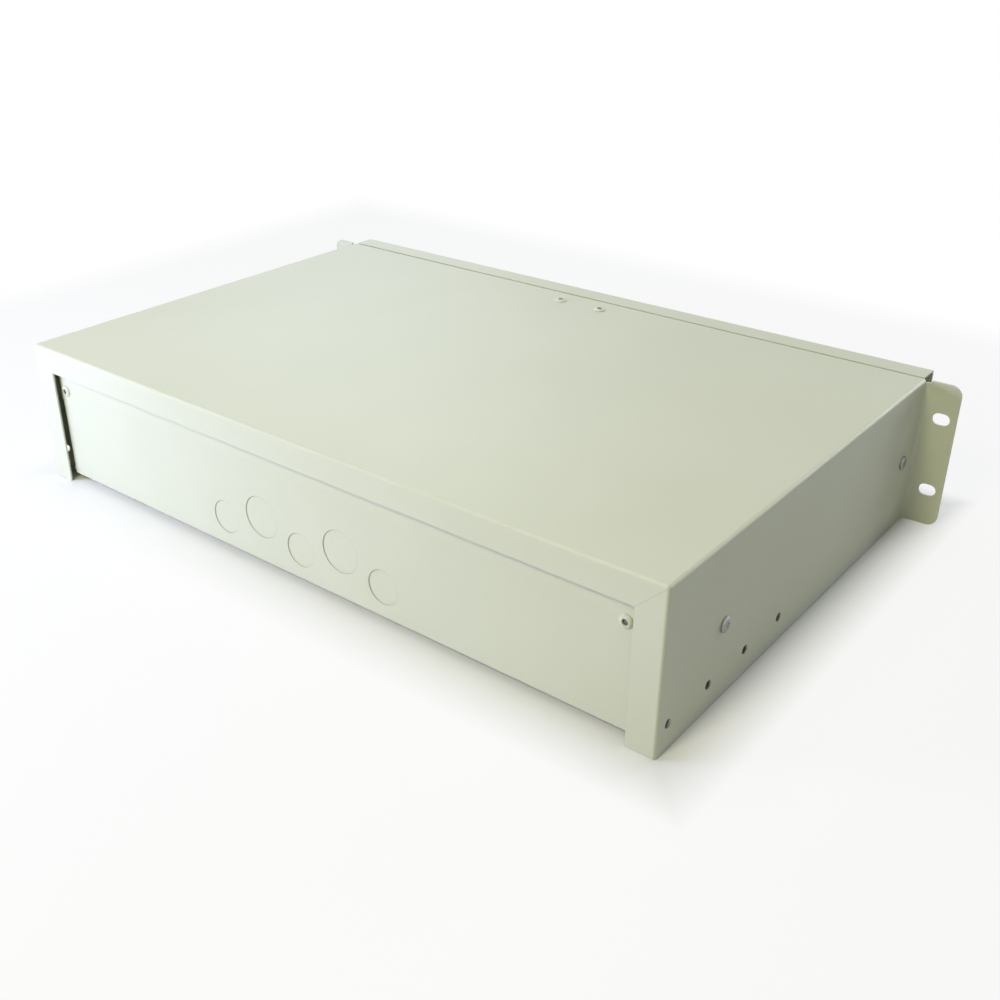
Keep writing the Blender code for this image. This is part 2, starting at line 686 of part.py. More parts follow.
def build_catch():
    """Magnetic catch under the shell's top, held by two painted blind rivets."""
    top = SHELL_HEIGHT - SHEET - SEAT
    front, back = depth(CATCH_DEPTH - CATCH_WIDTH / 2), depth(CATCH_DEPTH + CATCH_WIDTH / 2)
    plate = bmesh.new()
    add_block(plate, (CATCH_X - CATCH_LENGTH / 2, front, top - CATCH_PLATE),
              (CATCH_X + CATCH_LENGTH / 2, back, top))
    body = new_piece("magnetic_catch", mesh_from(plate), "white")
    box = bmesh.new()
    add_block(box, (CATCH_X - CATCH_BOX_LENGTH / 2, front, top - CATCH_TALL),
              (CATCH_X + CATCH_BOX_LENGTH / 2, back, top - CATCH_PLATE / 2))
    combine(body, "box", box, "UNION")
    cuts = bmesh.new()
    middle = top - (CATCH_TALL + CATCH_PLATE) / 2
    half_long, half_tall = MAGNET_LENGTH / 2, MAGNET_TALL / 2
    add_block(cuts, (CATCH_X - half_long - SEAT, front - SHEET, middle - half_tall - SEAT),
              (CATCH_X + half_long + SEAT, front + MAGNET_POCKET + SEAT, middle + half_tall + SEAT))
    for side, hand in SIDES:
        place = catch_rivet_place(side)
        add_rod(cuts, place - Vector((0, 0, CATCH_PLATE + CUT_REACH)), place, RIVET_HOLE)
    combine(body, "cuts", cuts)

    magnet = bmesh.new()
    add_block(magnet, (CATCH_X - half_long, depth(MAGNET_FACE), middle - half_tall),
              (CATCH_X + half_long, front + MAGNET_POCKET, middle + half_tall))
    new_piece("catch_magnet", mesh_from(magnet), "magnet")

    places = [("catch_rivet_" + hand, Matrix.Translation(catch_rivet_place(side))) for side, hand in SIDES]
    copies(places, rivet_mesh(SHEET + CATCH_PLATE + 3 * SEAT), "paint")


def slide_path(side, points, y):
    """Slide section points (u, v) as world points on the given side."""
    return [(side * (WALL_INNER - u), y, SLIDE_HEIGHT + v) for u, v in points]


def rail_holes(side, low_u, high_u, screws):
    bm = bmesh.new()
    for name, at in screws:
        add_rod(bm, (side * (WALL_INNER - low_u), depth(at), SLIDE_HEIGHT),
                (side * (WALL_INNER - high_u), depth(at), SLIDE_HEIGHT), SCREW_HOLE)
    return bm


def build_slides(cage_carrier, drawer_carrier):
    """Ball slides: an outer channel on the shell, a hat rail on the drawer and a caged row of balls."""
    outer = [(OUTER_LIP, OUTER_LIP_TIP), (OUTER_LIP, OUTER_TOP), (OUTER_WEB, OUTER_TOP),
             (OUTER_WEB, -OUTER_TOP), (OUTER_LIP, -OUTER_TOP), (OUTER_LIP, -OUTER_LIP_TIP)]
    inner = [(INNER_LIP, INNER_LIP_TIP), (INNER_LIP, INNER_TOP), (INNER_WEB, INNER_TOP),
             (INNER_WEB, -INNER_TOP), (INNER_LIP, -INNER_TOP), (INNER_LIP, -INNER_LIP_TIP)]
    cage = [(CAGE_END, CAGE_TOP), (CAGE_WEB, CAGE_TOP), (CAGE_WEB, -CAGE_TOP), (CAGE_END, -CAGE_TOP)]
    front, cage_start = depth(RAIL_FRONT), depth(CAGE_FRONT)
    for side, hand in SIDES:
        bm = sheet_strip(slide_path(side, outer, front), RAIL_BEND, (0, RAIL_REAR - RAIL_FRONT, 0))
        rail = sheet_piece("slide_outer_" + hand, bm, (side, 0, 0), RAIL_SHEET, "zinc")
        combine(rail, "holes", rail_holes(side, -RAIL_SHEET, CUT_REACH, OUTER_SCREWS))

        bm = sheet_strip(slide_path(side, inner, front), RAIL_BEND, (0, INNER_REAR - RAIL_FRONT, 0))
        rail = sheet_piece("slide_inner_" + hand, bm, (side, 0, 0), RAIL_SHEET, "zinc", drawer_carrier)
        combine(rail, "holes", rail_holes(side, INNER_WEB - RAIL_SHEET, SLIDE_SPACE, INNER_SCREWS))

        bm = sheet_strip(slide_path(side, cage, cage_start), CAGE_BEND, (0, CAGE_LENGTH, 0))
        strip = sheet_piece("ball_cage_" + hand, bm, (side, 0, 0), CAGE_SHEET, "zinc", cage_carrier)
        balls = bmesh.new()
        for i in range(BALL_COUNT):
            y = cage_start + CAGE_LENGTH * (i + 0.5) / BALL_COUNT
            for v in (-BALL_V, BALL_V):
                place = Matrix.Translation((side * (WALL_INNER - BALL_U), y, SLIDE_HEIGHT + v))
                bmesh.ops.create_uvsphere(balls, u_segments=BALL_STEPS, v_segments=BALL_STEPS // 2,
                                          radius=BALL / 2, matrix=place)
        combine(strip, "balls", balls, "UNION")

    places = [("slide_screw_" + hand + "_" + end,
               aimed((side * (SHELL_HALF + SEAT), depth(at), SLIDE_HEIGHT), (side, 0, 0)))
              for side, hand in SIDES for end, at in OUTER_SCREWS]
    copies(places, screw_mesh(SHEET + RAIL_SHEET + SEAT), "zinc")
    places = [("rail_screw_" + hand + "_" + end,
               aimed((side * (WALL_INNER - INNER_WEB + SEAT), depth(at), SLIDE_HEIGHT), (side, 0, 0)))
              for side, hand in SIDES for end, at in INNER_SCREWS]
    copies(places, screw_mesh(RAIL_SHEET + SHEET + 2 * SEAT + SCREW_SPARE), "zinc", drawer_carrier)


def knockouts():
    """Centre x, centre z and diameter of each knockout, small and low at both ends."""
    middle = (KNOCKOUT_COUNT - 1) / 2
    for i in range(KNOCKOUT_COUNT):
        x = (middle - i) * KNOCKOUT_PITCH
        if i % 2:
            yield x, KNOCKOUT_HIGH, KNOCKOUT_LARGE
        else:
            yield x, KNOCKOUT_LOW, KNOCKOUT_SMALL


def knockout_discs(radius_less, y):
    """Cutter with a disc twice the step thick on each knockout, centred on the given depth."""
    discs = bmesh.new()
    for x, z, diameter in knockouts():
        add_rod(discs, (x, depth(y) - KNOCKOUT_STEP, z), (x, depth(y) + KNOCKOUT_STEP, z),
                diameter / 2 - radius_less, KNOCKOUT_STEPS)
    return discs


def build_drawer_tray(carrier):
    """Floor and sides from one strip, rear wall folded up over the tabs of the sides."""
    front, rear = depth(-FLOOR_OVERHANG), depth(TAB_FACE - DRAWER_BEND)
    low, high = DRAWER_LIFT, DRAWER_SIDE_TOP
    nose = depth(HINGE_DEPTH - EAR_FRONT_REACH)
    path = [(-DRAWER_HALF, front, high), (-DRAWER_HALF, front, low), (DRAWER_HALF, front, low),
            (DRAWER_HALF, front, high)]
    bm = sheet_strip(path, DRAWER_BEND, (0, rear - front, 0))
    for side, hand in SIDES:
        wall = side * DRAWER_HALF
        edge = free_edges(bm, lambda v: near(v.y, rear) and near(v.x, wall))
        press = (wall - side * DRAWER_BEND, rear, 0)
        fold(bm, edge, press, (0, 0, 1), side * QUARTER, (side * (DRAWER_BEND - TAB_LENGTH), 0, 0))
        edge = free_edges(bm, lambda v: near(v.y, front) and near(v.x, wall))
        extend(bm, edge, (0, nose - front, 0))
    floor_rear = free_edges(bm, lambda v: near(v.y, rear) and near(v.z, low))
    press_y = depth(REAR_FACE - DRAWER_BEND)
    floor_rear = extend(bm, floor_rear, (0, press_y - rear, 0))
    for vert in {vert for edge in floor_rear for vert in edge.verts}:
        vert.co.x = math.copysign(REAR_WALL_HALF, vert.co.x)
    rise = REAR_WALL_TOP - low - 2 * DRAWER_BEND
    crest = fold(bm, floor_rear, (0, press_y, low + DRAWER_BEND), (1, 0, 0), QUARTER, (0, 0, rise))
    fold(bm, crest, (0, press_y, low + DRAWER_BEND + rise), (1, 0, 0), QUARTER,
         (0, DRAWER_BEND - REAR_RETURN, 0))
    tray = sheet_piece("drawer_tray", bm, (0, 0, -1), SHEET, "paint", carrier)

    # Cut the sides back over the hinge ears, with a round inner corner
    reach = DRAWER_HALF + SHEET
    back, sill, radius = depth(RAIL_FRONT), HINGE_EAR_TOP, EAR_CUT_CORNER
    outline = [(nose - SHEET, sill)]
    outline += arc((back - radius, sill + radius), radius, -QUARTER, 0.0, BEND_STEPS)
    outline += [(back, high + SHEET), (nose - SHEET, high + SHEET)]
    notch = bmesh.new()
    notch.from_mesh(moved(extruded(outline, 2 * reach), FROM_THE_SIDE))
    combine(tray, "front_notch", notch)

    # Cut the sides back ahead of the rear wall, below the tabs that carry its rivets
    relief = bmesh.new()
    inner = DRAWER_HALF - TAB_LENGTH - SHEET
    for side, hand in SIDES:
        low_x, high_x = sorted((side * inner, side * reach))
        add_block(relief, (low_x, depth(REAR_INSIDE - SIDE_CUT_BACK), FLOOR_TOP + DRAWER_BEND),
                  (high_x, depth(TAB_FACE) + SEAT / 2, REAR_RIVET_HEIGHT - TAB_TALL / 2))
    combine(tray, "side_relief", relief)

    holes = bmesh.new()
    pin = Vector((reach, depth(HINGE_DEPTH), HINGE_HEIGHT))
    add_rod(holes, pin * Vector((-1, 1, 1)), pin, HINGE_PIN / 2 + HOLE_ROOM)
    for name, at in INNER_SCREWS:
        add_rod(holes, (-reach, depth(at), SLIDE_HEIGHT), (reach, depth(at), SLIDE_HEIGHT), SCREW_HOLE)
    for side, hand in SIDES:
        place = rear_rivet_place(side)
        add_rod(holes, place - Vector((0, CUT_REACH, 0)), place + Vector((0, SHEET, 0)), RIVET_HOLE)
    for x, y in floor_screw_places():
        add_rod(holes, (x, y, low - SHEET), (x, y, FLOOR_TOP + SHEET), SCREW_HOLE)
    combine(tray, "holes", holes)

    # Half-sheared knockouts: sunk from behind and standing out on the inside by the same step
    combine(tray, "knockout_faces", knockout_discs(0.0, REAR_FACE))
    combine(tray, "knockout_backs", knockout_discs(2 * KNOCKOUT_STEP, REAR_INSIDE), "UNION")

    places = [("rear_rivet_" + hand, aimed(rear_rivet_place(side), (0, 1, 0))) for side, hand in SIDES]
    copies(places, rivet_mesh(2 * SHEET + 3 * SEAT), "paint", carrier)


def rear_rivet_place(side):
    return Vector((side * (REAR_WALL_HALF - REAR_RIVET_EDGE), depth(REAR_FACE) + SEAT, REAR_RIVET_HEIGHT))


def panel_screw_places():
    y = depth(PANEL_DEPTH + (PANEL_FOOT + SHEET) / 2)
    return [(side * (PANEL_HALF - PANEL_SCREW_EDGE), y) for side, hand in SIDES]


def anchor_screw_places():
    y = depth(ANCHOR_DEPTH - (ANCHOR_FOOT + SHEET) / 2)
    return [(side * (ANCHOR_WIDTH / 2 - ANCHOR_SCREW_EDGE), y) for side, hand in SIDES]


def clamp_places():
    return [(side * CLAMP_X, depth(ANCHOR_DEPTH - CLAMP_AHEAD)) for side, hand in SIDES]


def floor_screw_places():
    """Centre of every screw hole in the drawer floor."""
    return panel_screw_places() + anchor_screw_places() + clamp_places()


def screw_holes(bm, places, top):
    for x, y in places:
        add_rod(bm, (x, y, DRAWER_LIFT), (x, y, top), SCREW_HOLE)


def floor_screws(name, places, stack, carrier):
    """Left and right screw on top of a stack of that height over the floor, through the floor."""
    top = FLOOR_SEAT + stack + SEAT
    named = [(name + hand, Matrix.Translation((x, y, top))) for (side, hand), (x, y) in zip(SIDES, places)]
    copies(named, screw_mesh(top - DRAWER_LIFT), "zinc", carrier)


def build_adapter_panel(carrier):
    face = depth(PANEL_DEPTH)
    path = [(-PANEL_HALF, face + PANEL_FOOT, FLOOR_SEAT), (-PANEL_HALF, face, FLOOR_SEAT),
            (-PANEL_HALF, face, PANEL_TOP), (-PANEL_HALF, face + PANEL_LIP, PANEL_TOP)]
    bm = sheet_strip(path, PANEL_BEND, (2 * PANEL_HALF, 0, 0))
    panel = sheet_piece("adapter_panel", bm, (0, -1, 0), SHEET, "paint", carrier)
    cuts = bmesh.new()
    screw_holes(cuts, panel_screw_places(), FLOOR_SEAT + CUT_REACH)
    half_wide, half_tall = ADAPTER_WIDE / 2 + SEAT, ADAPTER_TALL / 2 + SEAT
    for x in adapter_xs():
        add_block(cuts, (x - half_wide, face - SHEET, ADAPTER_HEIGHT - half_tall),
                  (x + half_wide, face + 2 * SHEET, ADAPTER_HEIGHT + half_tall))
    combine(panel, "cuts", cuts)
    floor_screws("panel_screw_", panel_screw_places(), SHEET, carrier)


def adapter_xs():
    middle = (ADAPTER_COUNT - 1) / 2
    return [(i - middle) * ADAPTER_PITCH for i in range(ADAPTER_COUNT)]


def port_xs():
    middle = (PORT_COUNT - 1) / 2
    return [(i - middle) * PORT_PITCH for i in range(PORT_COUNT)]


def tapered_grip(bm, y, way):
    """Finger grip of a dust plug from a face at y, narrower at its free end."""
    low, high = sorted((y, y + way * GRIP_LONG))
    grip = add_block(bm, (-GRIP_WIDE / 2, low, -GRIP_TALL / 2), (GRIP_WIDE / 2, high, GRIP_TALL / 2))
    for vert in grip:
        if near(vert.co.y, y + way * GRIP_LONG):
            vert.co.x *= GRIP_TAPER
            vert.co.z *= GRIP_TAPER


def adapter_mesh():
    """Four-port adapter along Y: flange in front of Y = 0, ports in front, rear plug fitted behind."""
    front, rear = -ADAPTER_LONG / 2, ADAPTER_LONG / 2
    body = bmesh.new()
    add_block(body, (-ADAPTER_WIDE / 2, front, -ADAPTER_TALL / 2), (ADAPTER_WIDE / 2, rear, ADAPTER_TALL / 2))
    adapter = bpy.data.objects.new("adapter", mesh_from(body))
    PARTS.objects.link(adapter)
    flange = bmesh.new()
    ear, brow = ADAPTER_WIDE / 2 + ADAPTER_EAR, ADAPTER_TALL / 2 + ADAPTER_BROW
    add_block(flange, (-ear, -ADAPTER_FLANGE, -brow), (ear, 0, brow))
    combine(adapter, "flange", flange, "UNION")
    plug = bmesh.new()
    tapered_grip(plug, rear - GRIP_LONG / 4, 1)
    combine(adapter, "rear_plug", plug, "UNION")
    ports = bmesh.new()
    for x in port_xs():
        add_block(ports, (x - PORT_WIDE / 2, front - SHEET, -PORT_TALL / 2),
                  (x + PORT_WIDE / 2, front + PORT_DEEP, PORT_TALL / 2))
    combine(adapter, "ports", ports)
    return baked(adapter)


def cap_mesh():
    """Dust cap along Y: a plug in each port behind Y = 0 and one grip in front."""
    bm = bmesh.new()
    tapered_grip(bm, 0.0, -1)
    cap = bpy.data.objects.new("cap", mesh_from(bm))
    PARTS.objects.link(cap)
    plugs = bmesh.new()
    wide, tall = PORT_WIDE / 2 - SEAT, PORT_TALL / 2 - SEAT
    for x in port_xs():
        add_block(plugs, (x - wide, -GRIP_LONG / 2, -tall), (x + wide, PLUG_LONG, tall))
    combine(cap, "plugs", plugs, "UNION")
    return baked(cap)


def build_adapters(carrier):
    """A row of adapters seated on the panel's face, each with a dust cap in front."""
    y = depth(PANEL_DEPTH) - SEAT
    places = [Vector((x, y, ADAPTER_HEIGHT)) for x in adapter_xs()]
    named = [(f"adapter_{i + 1}", Matrix.Translation(place)) for i, place in enumerate(places)]
    copies(named, adapter_mesh(), "blue", carrier)
    ahead = Vector((0, ADAPTER_LONG / 2 + SEAT, 0))
    named = [(f"dust_cap_{i + 1}", Matrix.Translation(place - ahead)) for i, place in enumerate(places)]
    copies(named, cap_mesh(), "white", carrier)


def rounded_plate(bm, low, high, radius):
    """A block whose upright edges are round."""
    add_block(bm, low, high)
    upright = [edge for edge in bm.edges if near(edge.verts[0].co.x, edge.verts[1].co.x)
               and near(edge.verts[0].co.y, edge.verts[1].co.y)]
    bmesh.ops.bevel(bm, geom=upright, offset=radius, offset_type="OFFSET", segments=BEND_STEPS + 1,
                    profile=0.5, affect="EDGES", clamp_overlap=True)


def comb_outline():
    """Comb seen along its grooves, standing on the tray floor with its root sunk in it."""
    half = (COMB_TEETH - 1) * COMB_PITCH / 2 + COMB_TOOTH / 2
    outline = [(-half, -TRAY_WALL / 2)]
    for i in range(COMB_TEETH):
        left = i * COMB_PITCH - half
        outline += [(left, COMB_TALL), (left + COMB_TOOTH, COMB_TALL)]
        if i < COMB_TEETH - 1:
            outline += [(left + COMB_TOOTH, COMB_BASE), (left + COMB_PITCH, COMB_BASE)]
    outline.append((half, -TRAY_WALL / 2))
    return outline


def build_splice_trays(carrier):
    """Two moulded trays on one post, each with winding guides and a splice comb, under a clear cover."""
    middle = Vector((0, depth(TRAY_DEPTH_AT), 0))
    half = Vector((TRAY_LONG / 2, TRAY_WIDE / 2, 0))
    post = middle + Vector((0, half.y - POST_REAR_ROOM, 0))
    up = Vector((0, 0, 1))
    levels = [up * (FLOOR_SEAT + i * (TRAY_TALL + SEAT)) for i in range(3)]
    outer, inner, root = GUIDE_RADIUS, GUIDE_RADIUS - TRAY_WALL, -TRAY_WALL / 2
    ring = [(inner, GUIDE_TALL), (outer, GUIDE_TALL), (outer, root), (inner, root), (inner, GUIDE_TALL)]
    for name, level in zip(("splice_tray_lower", "splice_tray_upper"), levels):
        bm = bmesh.new()
        rounded_plate(bm, middle - half + level, middle + half + level + up * TRAY_TALL, TRAY_CORNER)
        bmesh.ops.delete(bm, geom=[face for face in bm.faces if face.normal.z > 0.5], context="FACES")
        tray = sheet_piece(name, bm, (0, 0, -1), TRAY_WALL, "white", carrier)
        floor = middle + level + up * TRAY_WALL
        insides = bmesh.new()
        for x in (-GUIDE_OFFSET, GUIDE_OFFSET):
            place = Matrix.Translation(floor + Vector((x, 0, 0)))
            insides.from_mesh(moved(turned(ring, HEAD_STEPS), place))
        comb = extruded(comb_outline(), COMB_LONG)
        insides.from_mesh(moved(comb, Matrix.Translation(floor) @ FROM_THE_SIDE))
        combine(tray, "insides", insides, "UNION")
        post_hole(tray, post + level)

    cover = bmesh.new()
    rounded_plate(cover, middle - half + levels[2], middle + half + levels[2] + up * TRAY_COVER, TRAY_CORNER)
    lid = new_piece("splice_tray_cover", mesh_from(cover), "clear", carrier)
    post_hole(lid, post + levels[2])

    seat = post + levels[2] + up * (TRAY_COVER + SEAT)
    stud = bmesh.new()
    add_rod(stud, post + up * FLOOR_SEAT, seat + up * (THUMB_NUT_TALL + POST_SPARE), POST / 2)
    new_piece("tray_post", mesh_from(stud), "zinc", carrier)
    outline = []
    points = THUMB_NUT_LOBES * LOBE_POINTS
    for i in range(points):
        dip = THUMB_NUT_GRIP * (1 - math.cos(2 * math.pi * i / LOBE_POINTS)) / 2
        outline += arc((0, 0), THUMB_NUT / 2 - dip, 2 * math.pi * i / points, 0.0, 1)[:1]
    nut = moved(extruded(outline, THUMB_NUT_TALL), Matrix.Translation(seat + up * THUMB_NUT_TALL / 2))
    post_hole(new_piece("tray_thumb_nut", nut, "black", carrier), seat)


def post_hole(piece, place):
    hole = bmesh.new()
    up = Vector((0, 0, 1))
    add_rod(hole, place - up * SHEET, place + up * (THUMB_NUT_TALL + SHEET), POST / 2 + HOLE_ROOM)
    combine(piece, "post_hole", hole)


def build_spools(carrier):
    """Snap-in spools that keep the slack fiber above its least bend."""
    base, hub, top = SPOOL_BASE / 2, SPOOL_HUB / 2, SPOOL_TOP / 2
    tall, flange = SPOOL_TALL, SPOOL_FLANGE
    profile = [(0.0, tall), (top, tall), (top, tall - flange), (hub, tall - flange), (hub, flange),
               (base, flange), (base, 0.0), (0.0, 0.0)]
    places = [("fiber_spool_" + hand, Matrix.Translation((side * SPOOL_X, depth(TRAY_DEPTH_AT), FLOOR_SEAT)))
              for side, hand in SIDES]
    copies(places, turned(profile, LARGE_ROUND_STEPS), "white", carrier)


def build_anchoring(carrier):
    """Slotted angle for the cables and screw clamps for their strength members."""
    half, face = ANCHOR_WIDTH / 2, depth(ANCHOR_DEPTH)
    crest = FLOOR_SEAT + ANCHOR_TALL
    path = [(-half, face - ANCHOR_FOOT, FLOOR_SEAT), (-half, face, FLOOR_SEAT), (-half, face, crest)]
    bm = sheet_strip(path, ANCHOR_BEND, (ANCHOR_WIDTH, 0, 0))
    bracket = sheet_piece("cable_anchor", bm, (0, 1, 0), SHEET, "zinc", carrier)
    cuts = bmesh.new()
    for x in (-KNOCKOUT_PITCH, KNOCKOUT_PITCH):
        add_block(cuts, (x - ANCHOR_SLOT_WIDE / 2, face - CUT_REACH, crest - ANCHOR_SLOT_DEEP),
                  (x + ANCHOR_SLOT_WIDE / 2, face + SHEET, crest + SHEET))
    screw_holes(cuts, anchor_screw_places(), FLOOR_SEAT + CUT_REACH)
    combine(bracket, "cuts", cuts)
    floor_screws("anchor_screw_", anchor_screw_places(), SHEET, carrier)

    top = FLOOR_SEAT + CLAMP_TALL
    wide, long = CLAMP_WIDE / 2, CLAMP_LONG / 2
    for (side, hand), (x, y) in zip(SIDES, clamp_places()):
        block = bmesh.new()
        add_block(block, (x - wide, y - long, FLOOR_SEAT), (x + wide, y + long, top))
        clamp = new_piece("strength_clamp_" + hand, mesh_from(block), "zinc", carrier)
        cuts = bmesh.new()
        groove = x - side * (wide + SCREW_HOLE) / 2
        add_block(cuts, (groove - CLAMP_GROOVE / 2, y - 2 * long, top - CLAMP_GROOVE),
                  (groove + CLAMP_GROOVE / 2, y + 2 * long, top + SHEET))
        screw_holes(cuts, [(x, y)], top + SHEET)
        combine(clamp, "cuts", cuts)
    floor_screws("clamp_screw_", clamp_places(), CLAMP_TALL, carrier)


def build_cord_guides(carrier):
    """Open rings that lead the patch cords to the open ends of the door."""
    front = depth(CORD_GUIDE_FRONT)
    back, low = front + CORD_GUIDE_LONG, FLOOR_SEAT
    high = low + CORD_GUIDE_TALL
    mouth = (back + front) / 2
    gap = CORD_GUIDE_MOUTH / 2
    for side, hand in SIDES:
        x = side * (DRAWER_HALF - CORD_GUIDE_SIDE_ROOM) - CORD_GUIDE_WIDE / 2
        path = [(x, mouth - gap, high), (x, front, high), (x, front, low), (x, back, low), (x, back, high),
                (x, mouth + gap, high)]
        bm = sheet_strip(path, CORD_GUIDE_BEND, (CORD_GUIDE_WIDE, 0, 0))
        sheet_piece("cord_guide_" + hand, bm, (0, 0, -1), CORD_GUIDE_THICK, "black", carrier)


def lug_lower_cut():
    """Cutter that leaves the lugs round below the pin, so that they clear the drawer floor."""
    angle = math.asin(LUG_BASE_LOW / LUG_RADIUS)
    reach = 2 * HINGE_INSET
    outline = [(-reach, LUG_BASE_LOW)]
    outline += arc((0, 0), LUG_RADIUS, math.pi - angle, 2 * math.pi + angle, ROUND_STEPS)
    outline += [(reach, LUG_BASE_LOW), (reach, -reach), (-reach, -reach)]
    place = Matrix.Translation((0, depth(HINGE_DEPTH), HINGE_HEIGHT)) @ FROM_THE_SIDE
    cut = bmesh.new()
    cut.from_mesh(moved(extruded(outline, DOOR_WIDTH), place))
    return cut


def build_hinge(door_carrier, drawer_carrier):
    """Angles on the door's inner face that turn on pins through the drawer's hinge ears."""
    inside = depth(DOOR_INSIDE) + SEAT
    pin_y, pin_z = depth(HINGE_DEPTH), HINGE_HEIGHT
    bottom = pin_z - LUG_RADIUS
    face = DRAWER_HALF - SHEET - WIDE_GAP
    for side, hand in SIDES:
        path = [(side * (face - LUG_BASE_WIDTH), inside, bottom), (side * face, inside, bottom),
                (side * face, pin_y + LUG_RADIUS, bottom)]
        bm = sheet_strip(path, PANEL_BEND, (0, 0, LUG_RADIUS + LUG_BASE_LOW + LUG_BASE_TALL))
        lug = sheet_piece("hinge_lug_" + hand, bm, (0, -1, 0), SHEET, "zinc", door_carrier)
        combine(lug, "lower_edge", lug_lower_cut())
        bore = bmesh.new()
        add_rod(bore, (side * (face - CUT_REACH), pin_y, pin_z), (side * DRAWER_HALF, pin_y, pin_z),
                HINGE_PIN / 2 + HOLE_ROOM)
        combine(lug, "bore", bore)

    head, rise, shank = PIN_HEAD / 2, PIN_HEAD_RISE, HINGE_PIN / 2
    grip = 2 * SHEET + WIDE_GAP + 2 * SEAT
    pin = turned([(0.0, rise), (head * HEAD_CROWN, rise), (head, rise * HEAD_SHOULDER), (head, 0.0),
                  (shank, 0.0), (shank, -grip), (0.0, -grip)])
    places = [("hinge_pin_" + hand, aimed((side * (DRAWER_HALF + SEAT), pin_y, pin_z), (side, 0, 0)))
              for side, hand in SIDES]
    copies(places, pin, "zinc", drawer_carrier)


def rounded_outline(wide, tall, radius):
    """Rectangle about the origin with round corners."""
    x, y = wide / 2 - radius, tall / 2 - radius
    centres = ((x, y), (-x, y), (-x, -y), (x, -y))
    outline = []
    for i, centre in enumerate(centres):
        outline += arc(centre, radius, i * QUARTER, (i + 1) * QUARTER, BEND_STEPS)
    return outline


def pull_slab(grow, start, end):
    """Slab of the pull's outline, grown all round, between two depths behind the door's face."""
    outline = rounded_outline(PULL_WIDE + 2 * grow, PULL_TALL + 2 * grow, PULL_CORNER + grow)
    place = Matrix.Translation((0, depth(-DOOR_DEPTH + (start + end) / 2), PULL_HEIGHT))
    return moved(extruded(outline, end - start), place @ Matrix.Rotation(QUARTER, 4, "X"))


def build_door(carrier):
    """Fold-down door: plate and top return, open at both ends, with finger pull and catch strike."""
    half, face = DOOR_WIDTH / 2, depth(-DOOR_DEPTH)
    path = [(-half, depth(-SHEET), SHELL_HEIGHT), (-half, face, SHELL_HEIGHT), (-half, face, DOOR_BOTTOM)]
    bm = sheet_strip(path, DOOR_BEND, (DOOR_WIDTH, 0, 0))
    door = sheet_piece("front_door", bm, (0, -1, 0), SHEET, "paint", carrier)
    hole = bmesh.new()
    hole.from_mesh(pull_slab(SEAT, -SHEET, DOOR_BEND + SHEET))
    combine(door, "pull_hole", hole)

    # Recessed finger pull, snapped into the door from the front
    pull = new_piece("door_pull", pull_slab(PULL_RIM, -PULL_PROUD, -SEAT), "black", carrier)
    cup, pocket = bmesh.new(), bmesh.new()
    cup.from_mesh(pull_slab(0.0, -PULL_PROUD / 2, PULL_DEEP))
    combine(pull, "cup", cup, "UNION")
    pocket.from_mesh(pull_slab(-PULL_WALL, -2 * PULL_PROUD, PULL_DEEP - PULL_WALL))
    combine(pull, "pocket", pocket)

    # Catch strike: a Z-bent strip that brings a steel face to the magnet
    x, inside = CATCH_X - STRIKE_WIDTH / 2, depth(DOOR_INSIDE) + SEAT
    reach = depth(MAGNET_FACE) - SEAT - SHEET
    path = [(x, inside, STRIKE_ARM_HEIGHT - STRIKE_FOOT), (x, inside, STRIKE_ARM_HEIGHT),
            (x, reach, STRIKE_ARM_HEIGHT), (x, reach, STRIKE_ARM_HEIGHT + STRIKE_FACE)]
    bm = sheet_strip(path, STRIKE_BEND, (STRIKE_WIDTH, 0, 0))
    sheet_piece("catch_strike", bm, (0, -1, 0), SHEET, "steel", carrier)


clear_scene()
PARTS = new_collection("fiber_termination_box")
CUTTERS = new_collection("cutters")
drawer_slide = new_empty("drawer_slide", (0, depth(RAIL_FRONT), SLIDE_HEIGHT))
cage_slide = new_empty("cage_slide", (0, depth(CAGE_FRONT), SLIDE_HEIGHT))
door_hinge = new_empty("door_hinge", (0, depth(HINGE_DEPTH), HINGE_HEIGHT))
build_outer_shell()
build_catch()
build_slides(cage_slide, drawer_slide)
build_drawer_tray(drawer_slide)
build_adapter_panel(drawer_slide)
build_adapters(drawer_slide)
build_splice_trays(drawer_slide)
build_spools(drawer_slide)
build_anchoring(drawer_slide)
build_cord_guides(drawer_slide)
build_door(door_hinge)
build_hinge(door_hinge, drawer_slide)
bpy.context.view_layer.update()
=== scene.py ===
import json
import math

import bmesh
import bpy
import numpy as np
from mathutils import Matrix, Vector

